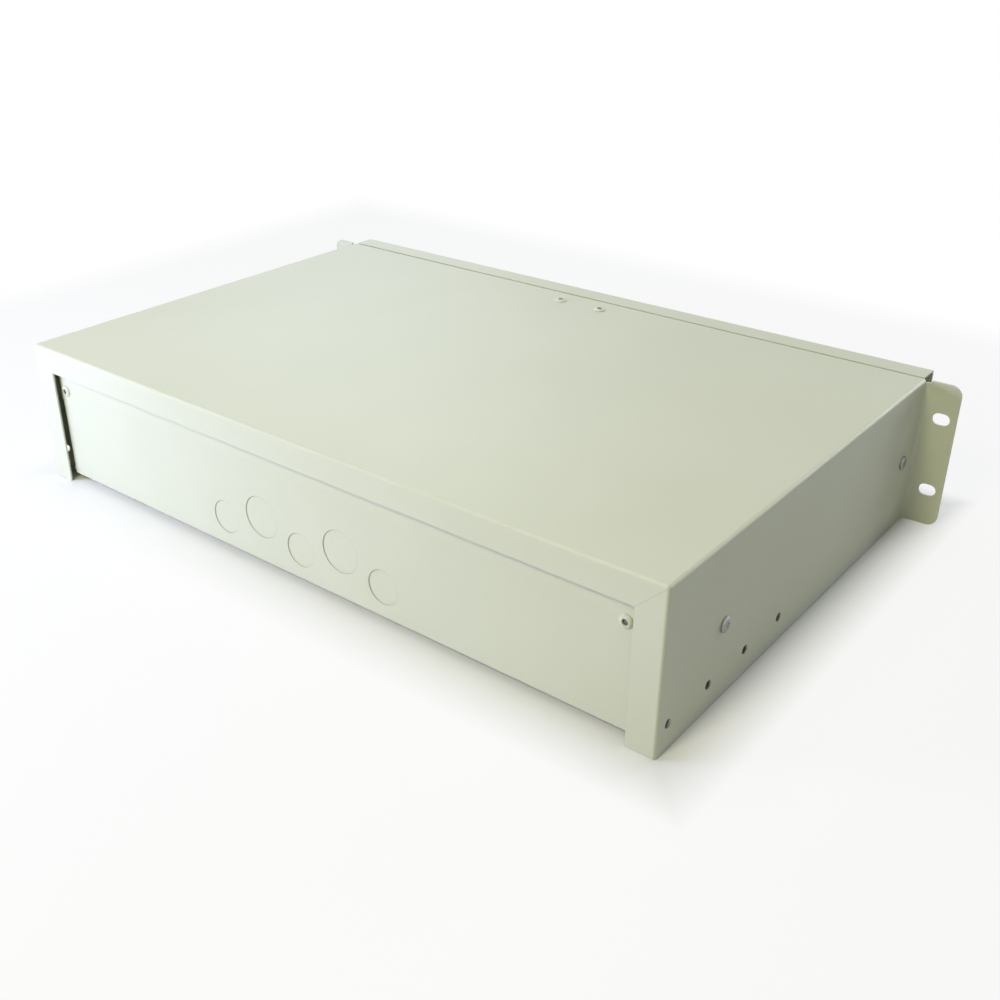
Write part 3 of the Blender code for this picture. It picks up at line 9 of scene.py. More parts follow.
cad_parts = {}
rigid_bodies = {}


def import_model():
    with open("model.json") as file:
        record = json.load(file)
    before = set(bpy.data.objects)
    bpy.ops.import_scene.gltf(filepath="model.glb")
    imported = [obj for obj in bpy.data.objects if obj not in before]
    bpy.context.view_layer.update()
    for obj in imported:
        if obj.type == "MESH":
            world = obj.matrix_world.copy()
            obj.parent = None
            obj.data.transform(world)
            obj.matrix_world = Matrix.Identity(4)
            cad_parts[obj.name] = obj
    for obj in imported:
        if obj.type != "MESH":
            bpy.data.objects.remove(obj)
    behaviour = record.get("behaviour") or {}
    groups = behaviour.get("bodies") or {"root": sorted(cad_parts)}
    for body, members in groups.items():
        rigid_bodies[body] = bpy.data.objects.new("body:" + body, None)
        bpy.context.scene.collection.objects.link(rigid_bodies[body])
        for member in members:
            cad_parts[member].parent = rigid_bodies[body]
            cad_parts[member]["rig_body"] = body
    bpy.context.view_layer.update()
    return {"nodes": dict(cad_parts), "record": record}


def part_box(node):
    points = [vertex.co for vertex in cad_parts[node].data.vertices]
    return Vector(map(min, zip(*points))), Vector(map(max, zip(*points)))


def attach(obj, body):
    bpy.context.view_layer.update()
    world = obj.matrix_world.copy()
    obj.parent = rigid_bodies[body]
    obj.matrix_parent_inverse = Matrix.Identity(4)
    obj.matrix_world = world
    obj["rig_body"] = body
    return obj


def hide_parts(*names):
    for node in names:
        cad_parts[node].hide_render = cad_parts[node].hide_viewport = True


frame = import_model()
nodes = frame["nodes"]
slotOf = {part["node"]: part["material_slot"] for part in frame["record"]["subparts"]}
print("frame loaded,", len(nodes), "nodes")


# screen colour 0 to 255, made linear
def tone(red, green, blue):
    parts = np.array([red, green, blue]) / 255
    linear = np.where(parts <= 0.04045, parts / 12.92, ((parts + 0.055) / 1.055) ** 2.4)
    return (*linear.tolist(), 1.0)


# a node with its settings and inputs: a socket is linked, anything else is set on the input
def put(tree, kind, settings=None, inputs=None):
    node = tree.nodes.new(kind)
    for name, value in (settings or {}).items():
        setattr(node, name, value)
    for name, value in (inputs or {}).items():
        if isinstance(value, bpy.types.NodeSocket):
            tree.links.new(value, node.inputs[name])
        else:
            node.inputs[name].default_value = value
    return node


def noise(tree, place, scale, detail=2.0, rough=0.5):
    values = {"Vector": place, "Scale": scale, "Detail": detail, "Roughness": rough}
    return put(tree, "ShaderNodeTexNoise", None, values).outputs["Fac"]


def math2(tree, kind, a, b):
    return put(tree, "ShaderNodeMath", {"operation": kind}, {0: a, 1: b}).outputs[0]


def absolute(tree, value):
    return put(tree, "ShaderNodeMath", {"operation": "ABSOLUTE"}, {0: value}).outputs[0]


# value moved from one range to another, clamped
def spread(tree, value, low, high, toLow, toHigh):
    values = {"Value": value, "From Min": low, "From Max": high, "To Min": toLow, "To Max": toHigh}
    return put(tree, "ShaderNodeMapRange", None, values).outputs["Result"]


def mixColor(tree, share, a, b, blend="MIX"):
    node = put(tree, "ShaderNodeMix", {"data_type": "RGBA", "blend_type": blend}, {0: share, 6: a, 7: b})
    return node.outputs[2]


def newGroup(name, inputs, outputs):
    tree = bpy.data.node_groups.new(name, "ShaderNodeTree")
    for label, kind, value in inputs:
        socket = tree.interface.new_socket(label, in_out="INPUT", socket_type=kind)
        socket.default_value = value
    for label, kind in outputs:
        tree.interface.new_socket(label, in_out="OUTPUT", socket_type=kind)
    return tree, tree.nodes.new("NodeGroupInput").outputs, tree.nodes.new("NodeGroupOutput").inputs


def objectPlace(tree):
    return tree.nodes.new("ShaderNodeTexCoord").outputs["Object"]


surfaceOutputs = [("Color", "NodeSocketColor"), ("Roughness", "NodeSocketFloat"), ("Height", "NodeSocketFloat")]


# cured powder: a slow drift between two tones, pin-sized specks, and peel about a millimetre wide
powderGrain = {"driftScale": 9.0, "drift": (0.35, 0.65), "speckPerPeel": 4.5, "middle": (0.3, 0.7),
               "fleck": (0.965, 1.03), "gloss": (-0.05, 0.07), "peelShare": 0.75, "speckShare": 0.25}


def makePowderGroup():
    grain = powderGrain
    tree, given, out = newGroup("powderCoat", [
        ("Tone", "NodeSocketColor", (0.6, 0.6, 0.6, 1)),
        ("Drift", "NodeSocketColor", (0.5, 0.5, 0.5, 1)),
        ("Peel", "NodeSocketFloat", 700.0),
        ("Gloss", "NodeSocketFloat", 0.45)], surfaceOutputs)
    place = objectPlace(tree)
    drift = spread(tree, noise(tree, place, grain["driftScale"]), *grain["drift"], 0.0, 1.0)
    peel = noise(tree, place, given["Peel"], 2.0)
    speck = noise(tree, place, math2(tree, "MULTIPLY", given["Peel"], grain["speckPerPeel"]), 1.0)
    color = mixColor(tree, drift, given["Tone"], given["Drift"])
    fleck = spread(tree, speck, *grain["middle"], *grain["fleck"])
    shade = put(tree, "ShaderNodeCombineColor", None, {0: fleck, 1: fleck, 2: fleck}).outputs[0]
    tree.links.new(mixColor(tree, 1.0, color, shade, "MULTIPLY"), out["Color"])
    rough = math2(tree, "ADD", given["Gloss"], spread(tree, peel, *grain["middle"], *grain["gloss"]))
    tree.links.new(rough, out["Roughness"])
    height = math2(tree, "ADD", math2(tree, "MULTIPLY", peel, grain["peelShare"]),
                   math2(tree, "MULTIPLY", speck, grain["speckShare"]))
    tree.links.new(height, out["Height"])
    return tree


# plated steel: cloudy passivation tint, with rolling lines drawn out along one axis by a stretched noise
plateGrain = {"cloudScale": 60.0, "cloud": (0.35, 0.65), "middle": (0.3, 0.7), "gloss": (-0.07, 0.1)}


def makePlateGroup():
    grain = plateGrain
    tree, given, out = newGroup("zincPlate", [
        ("Tone", "NodeSocketColor", (0.6, 0.6, 0.6, 1)),
        ("Cloud", "NodeSocketColor", (0.5, 0.5, 0.5, 1)),
        ("Lines", "NodeSocketVector", (900.0, 40.0, 900.0)),
        ("Gloss", "NodeSocketFloat", 0.3)], surfaceOutputs)
    place = objectPlace(tree)
    cloud = spread(tree, noise(tree, place, grain["cloudScale"], 3.0), *grain["cloud"], 0.0, 1.0)
    drawn = put(tree, "ShaderNodeVectorMath", {"operation": "MULTIPLY"}, {0: place, 1: given["Lines"]}).outputs[0]
    line = noise(tree, drawn, 1.0, 3.0)
    tree.links.new(mixColor(tree, cloud, given["Tone"], given["Cloud"]), out["Color"])
    rough = math2(tree, "ADD", given["Gloss"], spread(tree, line, *grain["middle"], *grain["gloss"]))
    tree.links.new(rough, out["Roughness"])
    tree.links.new(line, out["Height"])
    return tree


# moulded plastic: spark-eroded grain under half a millimetre, with slow flow clouds in tone and gloss
mouldGrain = {"flowScale": 35.0, "flow": (0.3, 0.7), "gloss": (-0.04, 0.05)}


def makeMouldGroup():
    tree, given, out = newGroup("mouldGrain", [
        ("Tone", "NodeSocketColor", (0.6, 0.6, 0.6, 1)),
        ("Flow", "NodeSocketColor", (0.5, 0.5, 0.5, 1)),
        ("Grain", "NodeSocketFloat", 2200.0),
        ("Gloss", "NodeSocketFloat", 0.45)], surfaceOutputs)
    place = objectPlace(tree)
    flow = spread(tree, noise(tree, place, mouldGrain["flowScale"], 3.0), *mouldGrain["flow"], 0.0, 1.0)
    grain = noise(tree, place, given["Grain"], 2.0)
    tree.links.new(mixColor(tree, flow, given["Tone"], given["Flow"]), out["Color"])
    rough = math2(tree, "ADD", given["Gloss"], spread(tree, flow, 0.0, 1.0, *mouldGrain["gloss"]))
    tree.links.new(rough, out["Roughness"])
    tree.links.new(grain, out["Height"])
    return tree


powderGroup = makePowderGroup()
plateGroup = makePlateGroup()
mouldGroup = makeMouldGroup()


# a material whose colour, roughness and bump come from one of the groups
def finish(name, group, values, bump, fixed=None):
    material = bpy.data.materials.new(name)
    material.use_nodes = True
    tree = material.node_tree
    shader = tree.nodes["Principled BSDF"]
    effect = put(tree, "ShaderNodeGroup", {"node_tree": group}, values)
    strength, distance = bump
    relief = put(tree, "ShaderNodeBump", None, {"Strength": strength, "Distance": distance,
                                                "Height": effect.outputs["Height"]})
    tree.links.new(effect.outputs["Color"], shader.inputs["Base Color"])
    tree.links.new(effect.outputs["Roughness"], shader.inputs["Roughness"])
    tree.links.new(relief.outputs["Normal"], shader.inputs["Normal"])
    for label, value in (fixed or {}).items():
        shader.inputs[label].default_value = value
    return material, tree, shader, effect


paintLook = {"tone": tone(212, 215, 196), "drift": tone(209, 212, 192), "peel": 750.0, "gloss": 0.44,
             "bump": (0.22, 0.00005)}
zincLook = {"tone": tone(168, 170, 168), "cloud": tone(152, 153, 150), "gloss": 0.36, "bump": (0.15, 0.00002)}
whiteLook = {"tone": tone(226, 226, 220), "flow": tone(220, 220, 213), "gloss": 0.42, "bump": (0.12, 0.00002)}
capLook = {"tone": tone(228, 229, 226), "flow": tone(222, 223, 219), "gloss": 0.5, "bump": (0.1, 0.00002)}
blueLook = {"tone": tone(46, 98, 173), "flow": tone(41, 90, 163), "gloss": 0.36, "bump": (0.1, 0.00002)}
blackLook = {"tone": tone(38, 38, 40), "flow": tone(33, 33, 34), "gloss": 0.48, "bump": (0.25, 0.00003)}
ferriteLook = {"tone": tone(74, 74, 77), "flow": tone(62, 62, 64), "gloss": 0.55, "bump": (0.5, 0.00005)}
clearLook = {"tone": tone(236, 241, 243), "flow": tone(230, 237, 240), "gloss": 0.08, "bump": (0.05, 0.00001)}


def mould(name, look, fixed=None):
    values = {"Tone": look["tone"], "Flow": look["flow"], "Gloss": look["gloss"]}
    return finish(name, mouldGroup, values, look["bump"], fixed)[0]


def powder(name):
    values = {"Tone": paintLook["tone"], "Drift": paintLook["drift"], "Peel": paintLook["peel"],
              "Gloss": paintLook["gloss"]}
    return finish(name, powderGroup, values, paintLook["bump"])


# x, y and z of a point on the piece
def pointParts(tree):
    return put(tree, "ShaderNodeSeparateXYZ", None, {"Vector": objectPlace(tree)}).outputs


# painted shade along a line: the finish is darkened by the shade factor where the mask is full
def paintShadeLine(tree, shader, effect, mask, shade):
    dark = mixColor(tree, 1.0, effect.outputs["Color"], (shade, shade, shade, 1), "MULTIPLY")
    tree.links.new(mixColor(tree, mask, effect.outputs["Color"], dark), shader.inputs["Base Color"])


# mitre: painted shade in the seam, darkest on the line between the flanges' meeting points and fading with distance
# from it, on the rear face alone
mitreSeamAndShade = {"tip": (0.2053, 0.0726), "corner": (0.2192, 0.0862), "wide": 0.00022, "shade": 0.62, "rear": 0.0005}


def makeShellPaint():
    material, tree, shader, effect = powder("shellPowder")
    x, y, z = pointParts(tree)
    tip, corner = mitreSeamAndShade["tip"], mitreSeamAndShade["corner"]
    slope = (corner[0] - tip[0]) / (corner[1] - tip[1])
    climb = math2(tree, "MULTIPLY", math2(tree, "SUBTRACT", z, tip[1]), slope)
    off = math2(tree, "SUBTRACT", math2(tree, "SUBTRACT", absolute(tree, x), tip[0]), climb)
    mask = spread(tree, absolute(tree, off), 0.0, mitreSeamAndShade["wide"], 1.0, 0.0)
    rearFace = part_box("outer_shell")[1][1]
    mask = math2(tree, "MULTIPLY", mask, math2(tree, "GREATER_THAN", y, rearFace - mitreSeamAndShade["rear"]))
    paintShadeLine(tree, shader, effect, mask, mitreSeamAndShade["shade"])
    return material


# knockouts: painted shade in the shear gaps, darkest on each sheared circle and fading with distance from it, on the
# rear wall alone
knockoutShade = {"circles": [(-0.059, 0.0224, 0.0098), (-0.0295, 0.0322, 0.0122), (0.0, 0.0224, 0.0098),
                            (0.0295, 0.0322, 0.0122), (0.059, 0.0224, 0.0098)],
                "wide": 0.00035, "shade": 0.7, "rear": 0.0012}


def makeWallPaint():
    material, tree, shader, effect = powder("wallPowder")
    x, y, z = pointParts(tree)
    mask = None
    for middleX, middleZ, radius in knockoutShade["circles"]:
        spot = put(tree, "ShaderNodeCombineXYZ", None, {"X": math2(tree, "SUBTRACT", x, middleX),
                                                        "Z": math2(tree, "SUBTRACT", z, middleZ)}).outputs[0]
        reach = put(tree, "ShaderNodeVectorMath", {"operation": "LENGTH"}, {0: spot}).outputs["Value"]
        off = absolute(tree, math2(tree, "SUBTRACT", reach, radius))
        line = spread(tree, off, 0.0, knockoutShade["wide"], 1.0, 0.0)
        mask = line if mask is None else math2(tree, "MAXIMUM", mask, line)
    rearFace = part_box("drawer_tray")[1][1]
    mask = math2(tree, "MULTIPLY", mask, math2(tree, "GREATER_THAN", y, rearFace - knockoutShade["rear"]))
    paintShadeLine(tree, shader, effect, mask, knockoutShade["shade"])
    return material


# adapter: blue housing, and the soft white plug that stands out behind it
plugLook = {"out": 0.0048}


def makeAdapterPlastic():
    values = {"Tone": blueLook["tone"], "Flow": blueLook["flow"], "Gloss": blueLook["gloss"]}
    material, tree, shader, effect = finish("adapterMoulding", mouldGroup, values, blueLook["bump"])
    values = {"Tone": capLook["tone"], "Flow": capLook["flow"], "Gloss": capLook["gloss"]}
    plug = put(tree, "ShaderNodeGroup", {"node_tree": mouldGroup}, values)
    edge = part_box("adapter_1")[1][1] - plugLook["out"]
    mask = math2(tree, "GREATER_THAN", pointParts(tree)["Y"], edge)
    tree.links.new(mixColor(tree, mask, effect.outputs["Color"], plug.outputs["Color"]), shader.inputs["Base Color"])
    return material


# rivet: paint on the head, and painted shade where the point attribute marks the mandrel well
wellShadeTone = {"tone": tone(122, 122, 114)}


def makeRivetPaint():
    material, tree, shader, effect = powder("rivetPowder")
    wellShadeShare = put(tree, "ShaderNodeAttribute", {"attribute_name": "well"}).outputs["Fac"]
    tree.links.new(mixColor(tree, wellShadeShare, effect.outputs["Color"], wellShadeTone["tone"]), shader.inputs["Base Color"])
    return material


paint = powder("lightGreyPowder")[0]
rivetPaint = makeRivetPaint()
shellPaint, wallPaint, adapterPlastic = makeShellPaint(), makeWallPaint(), makeAdapterPlastic()
zinc = finish("brightZinc", plateGroup, {"Tone": zincLook["tone"], "Cloud": zincLook["cloud"],
              "Gloss": zincLook["gloss"]}, zincLook["bump"], {"Metallic": 1.0})[0]
looks = {
    "light_grey_paint": paint,
    "zinc_steel": zinc,
    "white_plastic": mould("whiteMoulding", whiteLook),
    "cap_plastic": mould("softCapMoulding", capLook),
    "blue_plastic": mould("blueMoulding", blueLook),
    "black_plastic": mould("blackMoulding", blackLook),
    "ferrite": mould("ferriteBlock", ferriteLook),
    "clear_plastic": mould("clearCoverSheet", clearLook, {"Transmission Weight": 1.0, "IOR": 1.58}),
}
for name, node in nodes.items():
    node.data.materials.clear()
    node.data.materials.append(looks[slotOf[name]])
print("finishes made,", len(looks))


# put a finished mesh in the scene for a CAD node: same body, same finish
def stand(pieceName, mesh, nodeName, material=None):
    piece = bpy.data.objects.new(pieceName, mesh)
    bpy.context.scene.collection.objects.link(piece)
    mesh.materials.clear()
    mesh.materials.append(material or looks[slotOf[nodeName]])
    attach(piece, nodes[nodeName]["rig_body"])
    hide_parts(nodeName)
    return piece


# soft-edged copy of a CAD node: doubles merged, flat triangles joined, then a small round on each sharp edge
copyRule = {"merge": 1e-6, "flat": 0.3}


def softCopy(nodeName, pieceName, edge, material=None):
    shape = bmesh.new()
    shape.from_mesh(nodes[nodeName].data)
    bmesh.ops.remove_doubles(shape, verts=shape.verts[:], dist=copyRule["merge"])
    flat = math.radians(copyRule["flat"])
    bmesh.ops.dissolve_limit(shape, angle_limit=flat, verts=shape.verts[:], edges=shape.edges[:])
    mesh = bpy.data.meshes.new(pieceName)
    shape.to_mesh(mesh)
    shape.free()
    mesh.shade_smooth()
    piece = stand(pieceName, mesh, nodeName, material)
    bevel = piece.modifiers.new("edgeRound", "BEVEL")
    bevel.width = edge["round"]
    bevel.segments = edge["steps"]
    bevel.limit_method = "ANGLE"
    bevel.angle_limit = math.radians(edge["from"])
    bevel.use_clamp_overlap = edge["clamp"]
    piece.modifiers.new("faceNormals", "WEIGHTED_NORMAL").keep_sharp = True
    return piece


sheetEdge = {"round": 0.00022, "steps": 2, "from": 50, "clamp": False}
for nodeName, material in (("outer_shell", shellPaint), ("drawer_tray", wallPaint), ("front_door", None),
                           ("adapter_panel", None)):
    softCopy(nodeName, nodeName + "_sheet", sheetEdge, material)
print("sheet pieces softened")

stripEdge = {"round": 0.00016, "steps": 2, "from": 50, "clamp": True}
for nodeName in ("slide_outer_left", "slide_outer_right", "slide_inner_left", "slide_inner_right",
                 "catch_strike", "hinge_lug_left", "hinge_lug_right", "cable_anchor"):
    softCopy(nodeName, nodeName + "_strip", stripEdge)
mouldEdge = {"round": 0.0003, "steps": 2, "from": 40, "clamp": True}
for nodeName in ("magnetic_catch", "catch_magnet", "splice_tray_cover",
                 "strength_clamp_left", "strength_clamp_right"):
    softCopy(nodeName, nodeName + "_soft", mouldEdge)
guideEdge = {"round": 0.0007, "steps": 3, "from": 50, "clamp": True}
for nodeName in ("cord_guide_left", "cord_guide_right"):
    softCopy(nodeName, nodeName + "_soft", guideEdge)
adapterEdge = {"round": 0.00025, "steps": 2, "from": 50, "clamp": True}
for port in range(1, 7):
    softCopy("adapter_%d" % port, "adapter_%d_moulded" % port, adapterEdge, adapterPlastic)
print("strips and mouldings softened")


# rows of points as quads, wrapping round each row; the end rows are shut by a fan, or joined to each other
def skin(rows, joined=False):
    count, steps = rows.shape[:2]
    index = np.arange(count * steps).reshape(count, steps)
    if joined:
        index = np.concatenate((index, index[:1]))
    ahead = np.roll(index, -1, axis=1)
    faces = np.stack((index[:-1], ahead[:-1], ahead[1:], index[1:]), axis=-1).reshape(-1, 4).tolist()
    points = rows.reshape(-1, 3)
    if not joined:
        first, last = np.full(steps, len(points)), np.full(steps, len(points) + 1)
        faces += np.stack((ahead[0], index[0], first), axis=-1).tolist()
        faces += np.stack((index[-1], ahead[-1], last), axis=-1).tolist()
        points = np.concatenate((points, rows[:1].mean(axis=1), rows[-1:].mean(axis=1)))
    return points, faces


# several shapes as one: the face numbers of each move up by the points before it
def together(shapes):
    points = np.concatenate([shape[0] for shape in shapes])
    starts = np.cumsum([0] + [len(shape[0]) for shape in shapes[:-1]])
    faces = [[corner + int(start) for corner in face] for start, shape in zip(starts, shapes) for face in shape[1]]
    return points, faces


# a shape made along z, turned to an axis and moved to a place
def aimed(shape, axis, place):
    turn = np.array(Vector(axis).to_track_quat("Z", "Y").to_matrix())
    return shape[0] @ turn.T + np.array(place), shape[1]


def meshOf(pieceName, shape, sharp=35):
    mesh = bpy.data.meshes.new(pieceName)
    mesh.from_pydata(shape[0].tolist(), [], shape[1])
    mesh.shade_smooth()
    mesh.set_sharp_from_angle(angle=math.radians(sharp))
    return mesh


# mitre seams: wedges along the line where the flanges meet, their tips under the rear face, cut out of the shell
seamLook = {"wide": 0.00030, "deep": 0.00035, "proud": 0.0005, "inPast": 0.0012, "outPast": 0.0022}


def cutSeams(piece):
    look = seamLook
    tip, corner = np.array(mitreSeamAndShade["tip"]), np.array(mitreSeamAndShade["corner"])
    along = (corner - tip) / np.linalg.norm(corner - tip)
    beside = np.array([-along[1], along[0]])
    half = look["wide"] / 2 * (look["deep"] + look["proud"]) / look["deep"]
    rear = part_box("outer_shell")[1][1]
    ends = np.stack((tip - along * look["inPast"], corner + along * look["outPast"]))
    offset = np.array([0.0, half, -half])
    flat = ends[:, None] + offset[None, :, None] * beside
    depth = np.broadcast_to(rear + np.array([-look["deep"], look["proud"], look["proud"]]), (2, 3))
    right = np.stack((flat[..., 0], depth, flat[..., 1]), axis=-1)
    left = right[::-1] * np.array([-1, 1, 1])
    mesh = meshOf("seamCutter", together([skin(right), skin(left)]))
    cutter = bpy.data.objects.new("seamCutter", mesh)
    bpy.context.scene.collection.objects.link(cutter)
    seam = piece.modifiers.new("seam", "BOOLEAN")
    seam.operation, seam.solver, seam.object = "DIFFERENCE", "EXACT", cutter
    piece.modifiers.remove(piece.modifiers["faceNormals"])
    solid = piece.evaluated_get(bpy.context.evaluated_depsgraph_get())
    piece.data = bpy.data.meshes.new_from_object(solid)
    piece.modifiers.clear()
    piece.modifiers.new("faceNormals", "WEIGHTED_NORMAL").keep_sharp = True
    bpy.data.objects.remove(cutter)


cutSeams(bpy.data.objects["outer_shell_sheet"])
print("mitre seams cut")


# a profile with each inner corner rounded: a quadratic curve from a point before it to one after it, each no further
# from it than a share of the shorter side
def softProfile(points, reach, steps=4, most=0.45):
    points = np.array(points, dtype=float)
    before, corner, after = points[:-2], points[1:-1], points[2:]
    backLength = np.linalg.norm(before - corner, axis=1, keepdims=True)
    onLength = np.linalg.norm(after - corner, axis=1, keepdims=True)
    cut = np.minimum(reach, most * np.minimum(backLength, onLength))
    start = corner + (before - corner) / backLength * cut
    end = corner + (after - corner) / onLength * cut
    t = np.linspace(0, 1, steps)[None, :, None]
    curve = (1 - t) ** 2 * start[:, None] + 2 * t * (1 - t) * corner[:, None] + t ** 2 * end[:, None]
    return np.concatenate((points[:1], curve.reshape(-1, 2), points[-1:]))


# a profile of radius and height pairs carried round z, outside going up
def turned(profile, steps, joined=False):
    angle = np.linspace(0, 2 * np.pi, steps, endpoint=False)
    radius, height = profile[:, :1], profile[:, 1:]
    rows = np.stack((radius * np.cos(angle), radius * np.sin(angle), height + 0 * angle), axis=-1)
    return skin(rows, joined)


def boxOf(nodeName):
    low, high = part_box(nodeName)
    return np.array(low), np.array(high)


# middle of a box's bottom face
def standOn(low, high):
    return (low[0] + high[0]) / 2, (low[1] + high[1]) / 2, low[2]


# blind rivet: set tail, shank, then a dome whose height falls with the square of the radius, and a sunk mandrel;
# catch and rear are the head's radius in each pair
rivetLook = {"steps": 48, "domeRows": 9, "catch": 0.0040, "rear": 0.0036, "rise": 0.0013, "brim": 0.0004,
             "hole": 0.0016, "sunk": 0.0012, "stub": 0.0013, "stubTop": 0.8, "stubEdge": 0.00022, "stubRise": 0.0003,
             "stubMiddle": 0.0002, "shank": 0.0020, "tail": 0.0028, "tailLong": 0.0035, "tailMiddle": 0.0008,
             "round": 0.00014, "lift": 0.0003, "cadRise": 0.0011, "wellWide": 1.01, "wellTall": 0.8}


def rivetShape(head, grip):
    look = rivetLook
    across = np.linspace(head, look["hole"], look["domeRows"])
    fall = (across - look["hole"]) / (head - look["hole"])
    dome = np.stack((across, look["rise"] - (look["rise"] - look["brim"]) * fall ** 2), axis=-1)
    deep = look["rise"] - look["sunk"]
    end = -grip - look["tailLong"]
    foot = [(look["tailMiddle"], end), (look["tail"], end), (look["tail"], -grip), (look["shank"], -grip),
            (look["shank"], 0.0), (head, 0.0)]
    well = [(look["hole"], deep), (look["stub"], deep), (look["stub"] * look["stubTop"], deep + look["stubEdge"]),
            (look["stubMiddle"], deep + look["stubRise"])]
    return turned(softProfile(np.concatenate((foot, dome, well)), look["round"]), look["steps"])


for nodeName, axis in (("catch_rivet_left", (0, 0, 1)), ("catch_rivet_right", (0, 0, 1)),
                       ("rear_rivet_left", (0, 1, 0)), ("rear_rivet_right", (0, 1, 0))):
    low, high = boxOf(nodeName)
    way = np.array(axis)
    seat = np.where(way == 1, high - rivetLook["cadRise"] - rivetLook["lift"], (low + high) / 2)
    grip = float(((high - low) * way).sum()) - rivetLook["cadRise"] - rivetLook["tailLong"]
    shape = rivetShape(rivetLook[nodeName.split("_")[0]], grip)
    # the points inside the mandrel well, which take painted shade in the rivet paint
    inWell = np.hypot(shape[0][:, 0], shape[0][:, 1]) < rivetLook["hole"] * rivetLook["wellWide"]
    inWell &= (shape[0][:, 2] > 0) & (shape[0][:, 2] < rivetLook["rise"] * rivetLook["wellTall"])
    mesh = meshOf(nodeName + "_turned", aimed(shape, axis, seat))
    mesh.attributes.new("well", "FLOAT", "POINT").data.foreach_set("value", inWell.astype(np.float32))
    stand(nodeName + "_turned", mesh, nodeName, rivetPaint)

# pan head screw: a square grid drawn into a disc (x sqrt(1 - y2/2), y sqrt(1 - x2/2)); its height is a flat dome
# that falls with the fourth power of the radius, sunk inside the two bars of a cross, and rings of the rim carry it
# down to the shank
screwLook = {"head": 0.0040, "rise": 0.0017, "shoulder": 0.5, "shank": 0.0019, "barWide": 0.0011,
             "barLong": 0.0045, "deep": 0.0009, "barFall": 0.45, "wall": 0.00010, "rimRound": 0.0002, "rim": 0.3,
             "point": 0.6, "pointLong": 0.0005, "lift": 0.0003, "inBar": (0.25, 0.38),
             "outside": (0.68, 0.79, 0.88, 0.95, 1.0), "sideways": 0.0079, "sharp": 30}


def screwShape(length):
    look = screwLook
    head, rise = look["head"], look["rise"]
    wide, long, wall = look["barWide"] / 2 / head, look["barLong"] / 2 / head, look["wall"] / head
    half = np.array([wide - wall, wide + wall, *look["inBar"], long - wall, long + wall, *look["outside"]])
    lines = np.concatenate((-half[::-1], [0.0], half))
    across, along = np.meshgrid(lines, lines, indexing="ij")
    x, y = across * np.sqrt(1 - along ** 2 / 2), along * np.sqrt(1 - across ** 2 / 2)
    reach = np.sqrt(x ** 2 + y ** 2)
    inBar = ((np.abs(across) < wide) & (np.abs(along) < long)) | ((np.abs(along) < wide) & (np.abs(across) < long))
    height = rise * (1 - (1 - look["shoulder"]) * reach ** 4)
    height = height - inBar * look["deep"] * (1 - look["barFall"] * reach / long)
    top = np.stack((x * head, y * head, height), axis=-1).reshape(-1, 3)
    size = len(lines)
    index = np.arange(size * size).reshape(size, size)
    rim = np.concatenate((index[:-1, 0], index[-1, :-1], index[:0:-1, -1], index[0, :0:-1]))
    way = top[rim][:, :2] / head
    rows = np.array([(look["point"] * look["shank"], -length), (look["shank"], look["pointLong"] - length),
                     (look["shank"], 0.0), (head - look["rimRound"], 0.0), (head, look["rimRound"]),
                     (head, rise * look["rim"])])
    rings = np.concatenate((rows[:, :1, None] * way[None], np.repeat(rows[:, 1:, None], len(rim), axis=1)), axis=-1)
    count = rings.shape[0] * rings.shape[1]
    ringIndex = np.concatenate((np.arange(count).reshape(rings.shape[:2]), rim[None] + count))
    ahead = np.roll(ringIndex, -1, axis=1)
    faces = np.stack((ringIndex[:-1], ahead[:-1], ahead[1:], ringIndex[1:]), axis=-1).reshape(-1, 4).tolist()
    grid = np.stack((index[:-1, :-1], index[1:, :-1], index[1:, 1:], index[:-1, 1:]), axis=-1) + count
    faces += grid.reshape(-1, 4).tolist()
    foot = count + size * size
    faces += np.stack((ahead[0], ringIndex[0], np.full(len(rim), foot)), axis=-1).tolist()
    return np.concatenate((rings.reshape(-1, 3), top, rings[:1].mean(axis=1))), faces


for nodeName in [name for name in nodes if "_screw_" in name]:
    low, high = boxOf(nodeName)
    hand = 1.0 if high[0] > 0 else -1.0
    if high[0] - low[0] < screwLook["sideways"]:
        axis, long = (hand, 0, 0), float(high[0] - low[0])
        seat = (low + high) / 2
        seat[0] = (high[0] if hand > 0 else low[0]) - hand * (screwLook["rise"] + screwLook["lift"])
    else:
        axis, long = (0, 0, 1), float(high[2] - low[2])
        seat = (low + high) / 2
        seat[2] = high[2] - screwLook["rise"] - screwLook["lift"]
    shape = aimed(screwShape(long - screwLook["rise"]), axis, seat)
    stand(nodeName + "_turned", meshOf(nodeName + "_turned", shape, screwLook["sharp"]), nodeName)
print("rivets and screws turned")

# hinge pin: plain shank and a low head with a rounded rim
pinLook = {"head": 0.0035, "rise": 0.0014, "rim": 0.6, "crown": 0.7, "crownMiddle": 0.0004, "shank": 0.0020,
           "endMiddle": 0.0006, "round": 0.0004, "steps": 40}
for nodeName, hand in (("hinge_pin_left", -1.0), ("hinge_pin_right", 1.0)):
    low, high = boxOf(nodeName)
    look, head, rise = pinLook, pinLook["head"], pinLook["rise"]
    long = float(high[0] - low[0]) - rise
    profile = softProfile([(look["endMiddle"], -long), (look["shank"], -long), (look["shank"], 0.0), (head, 0.0),
                           (head, rise * look["rim"]), (head * look["crown"], rise), (look["crownMiddle"], rise)],
                          look["round"])
    seat = (low + high) / 2
    seat[0] = (high[0] if hand > 0 else low[0]) - hand * rise
    shape = aimed(turned(profile, look["steps"]), (hand, 0, 0), seat)
    stand(nodeName + "_turned", meshOf(nodeName + "_turned", shape), nodeName)

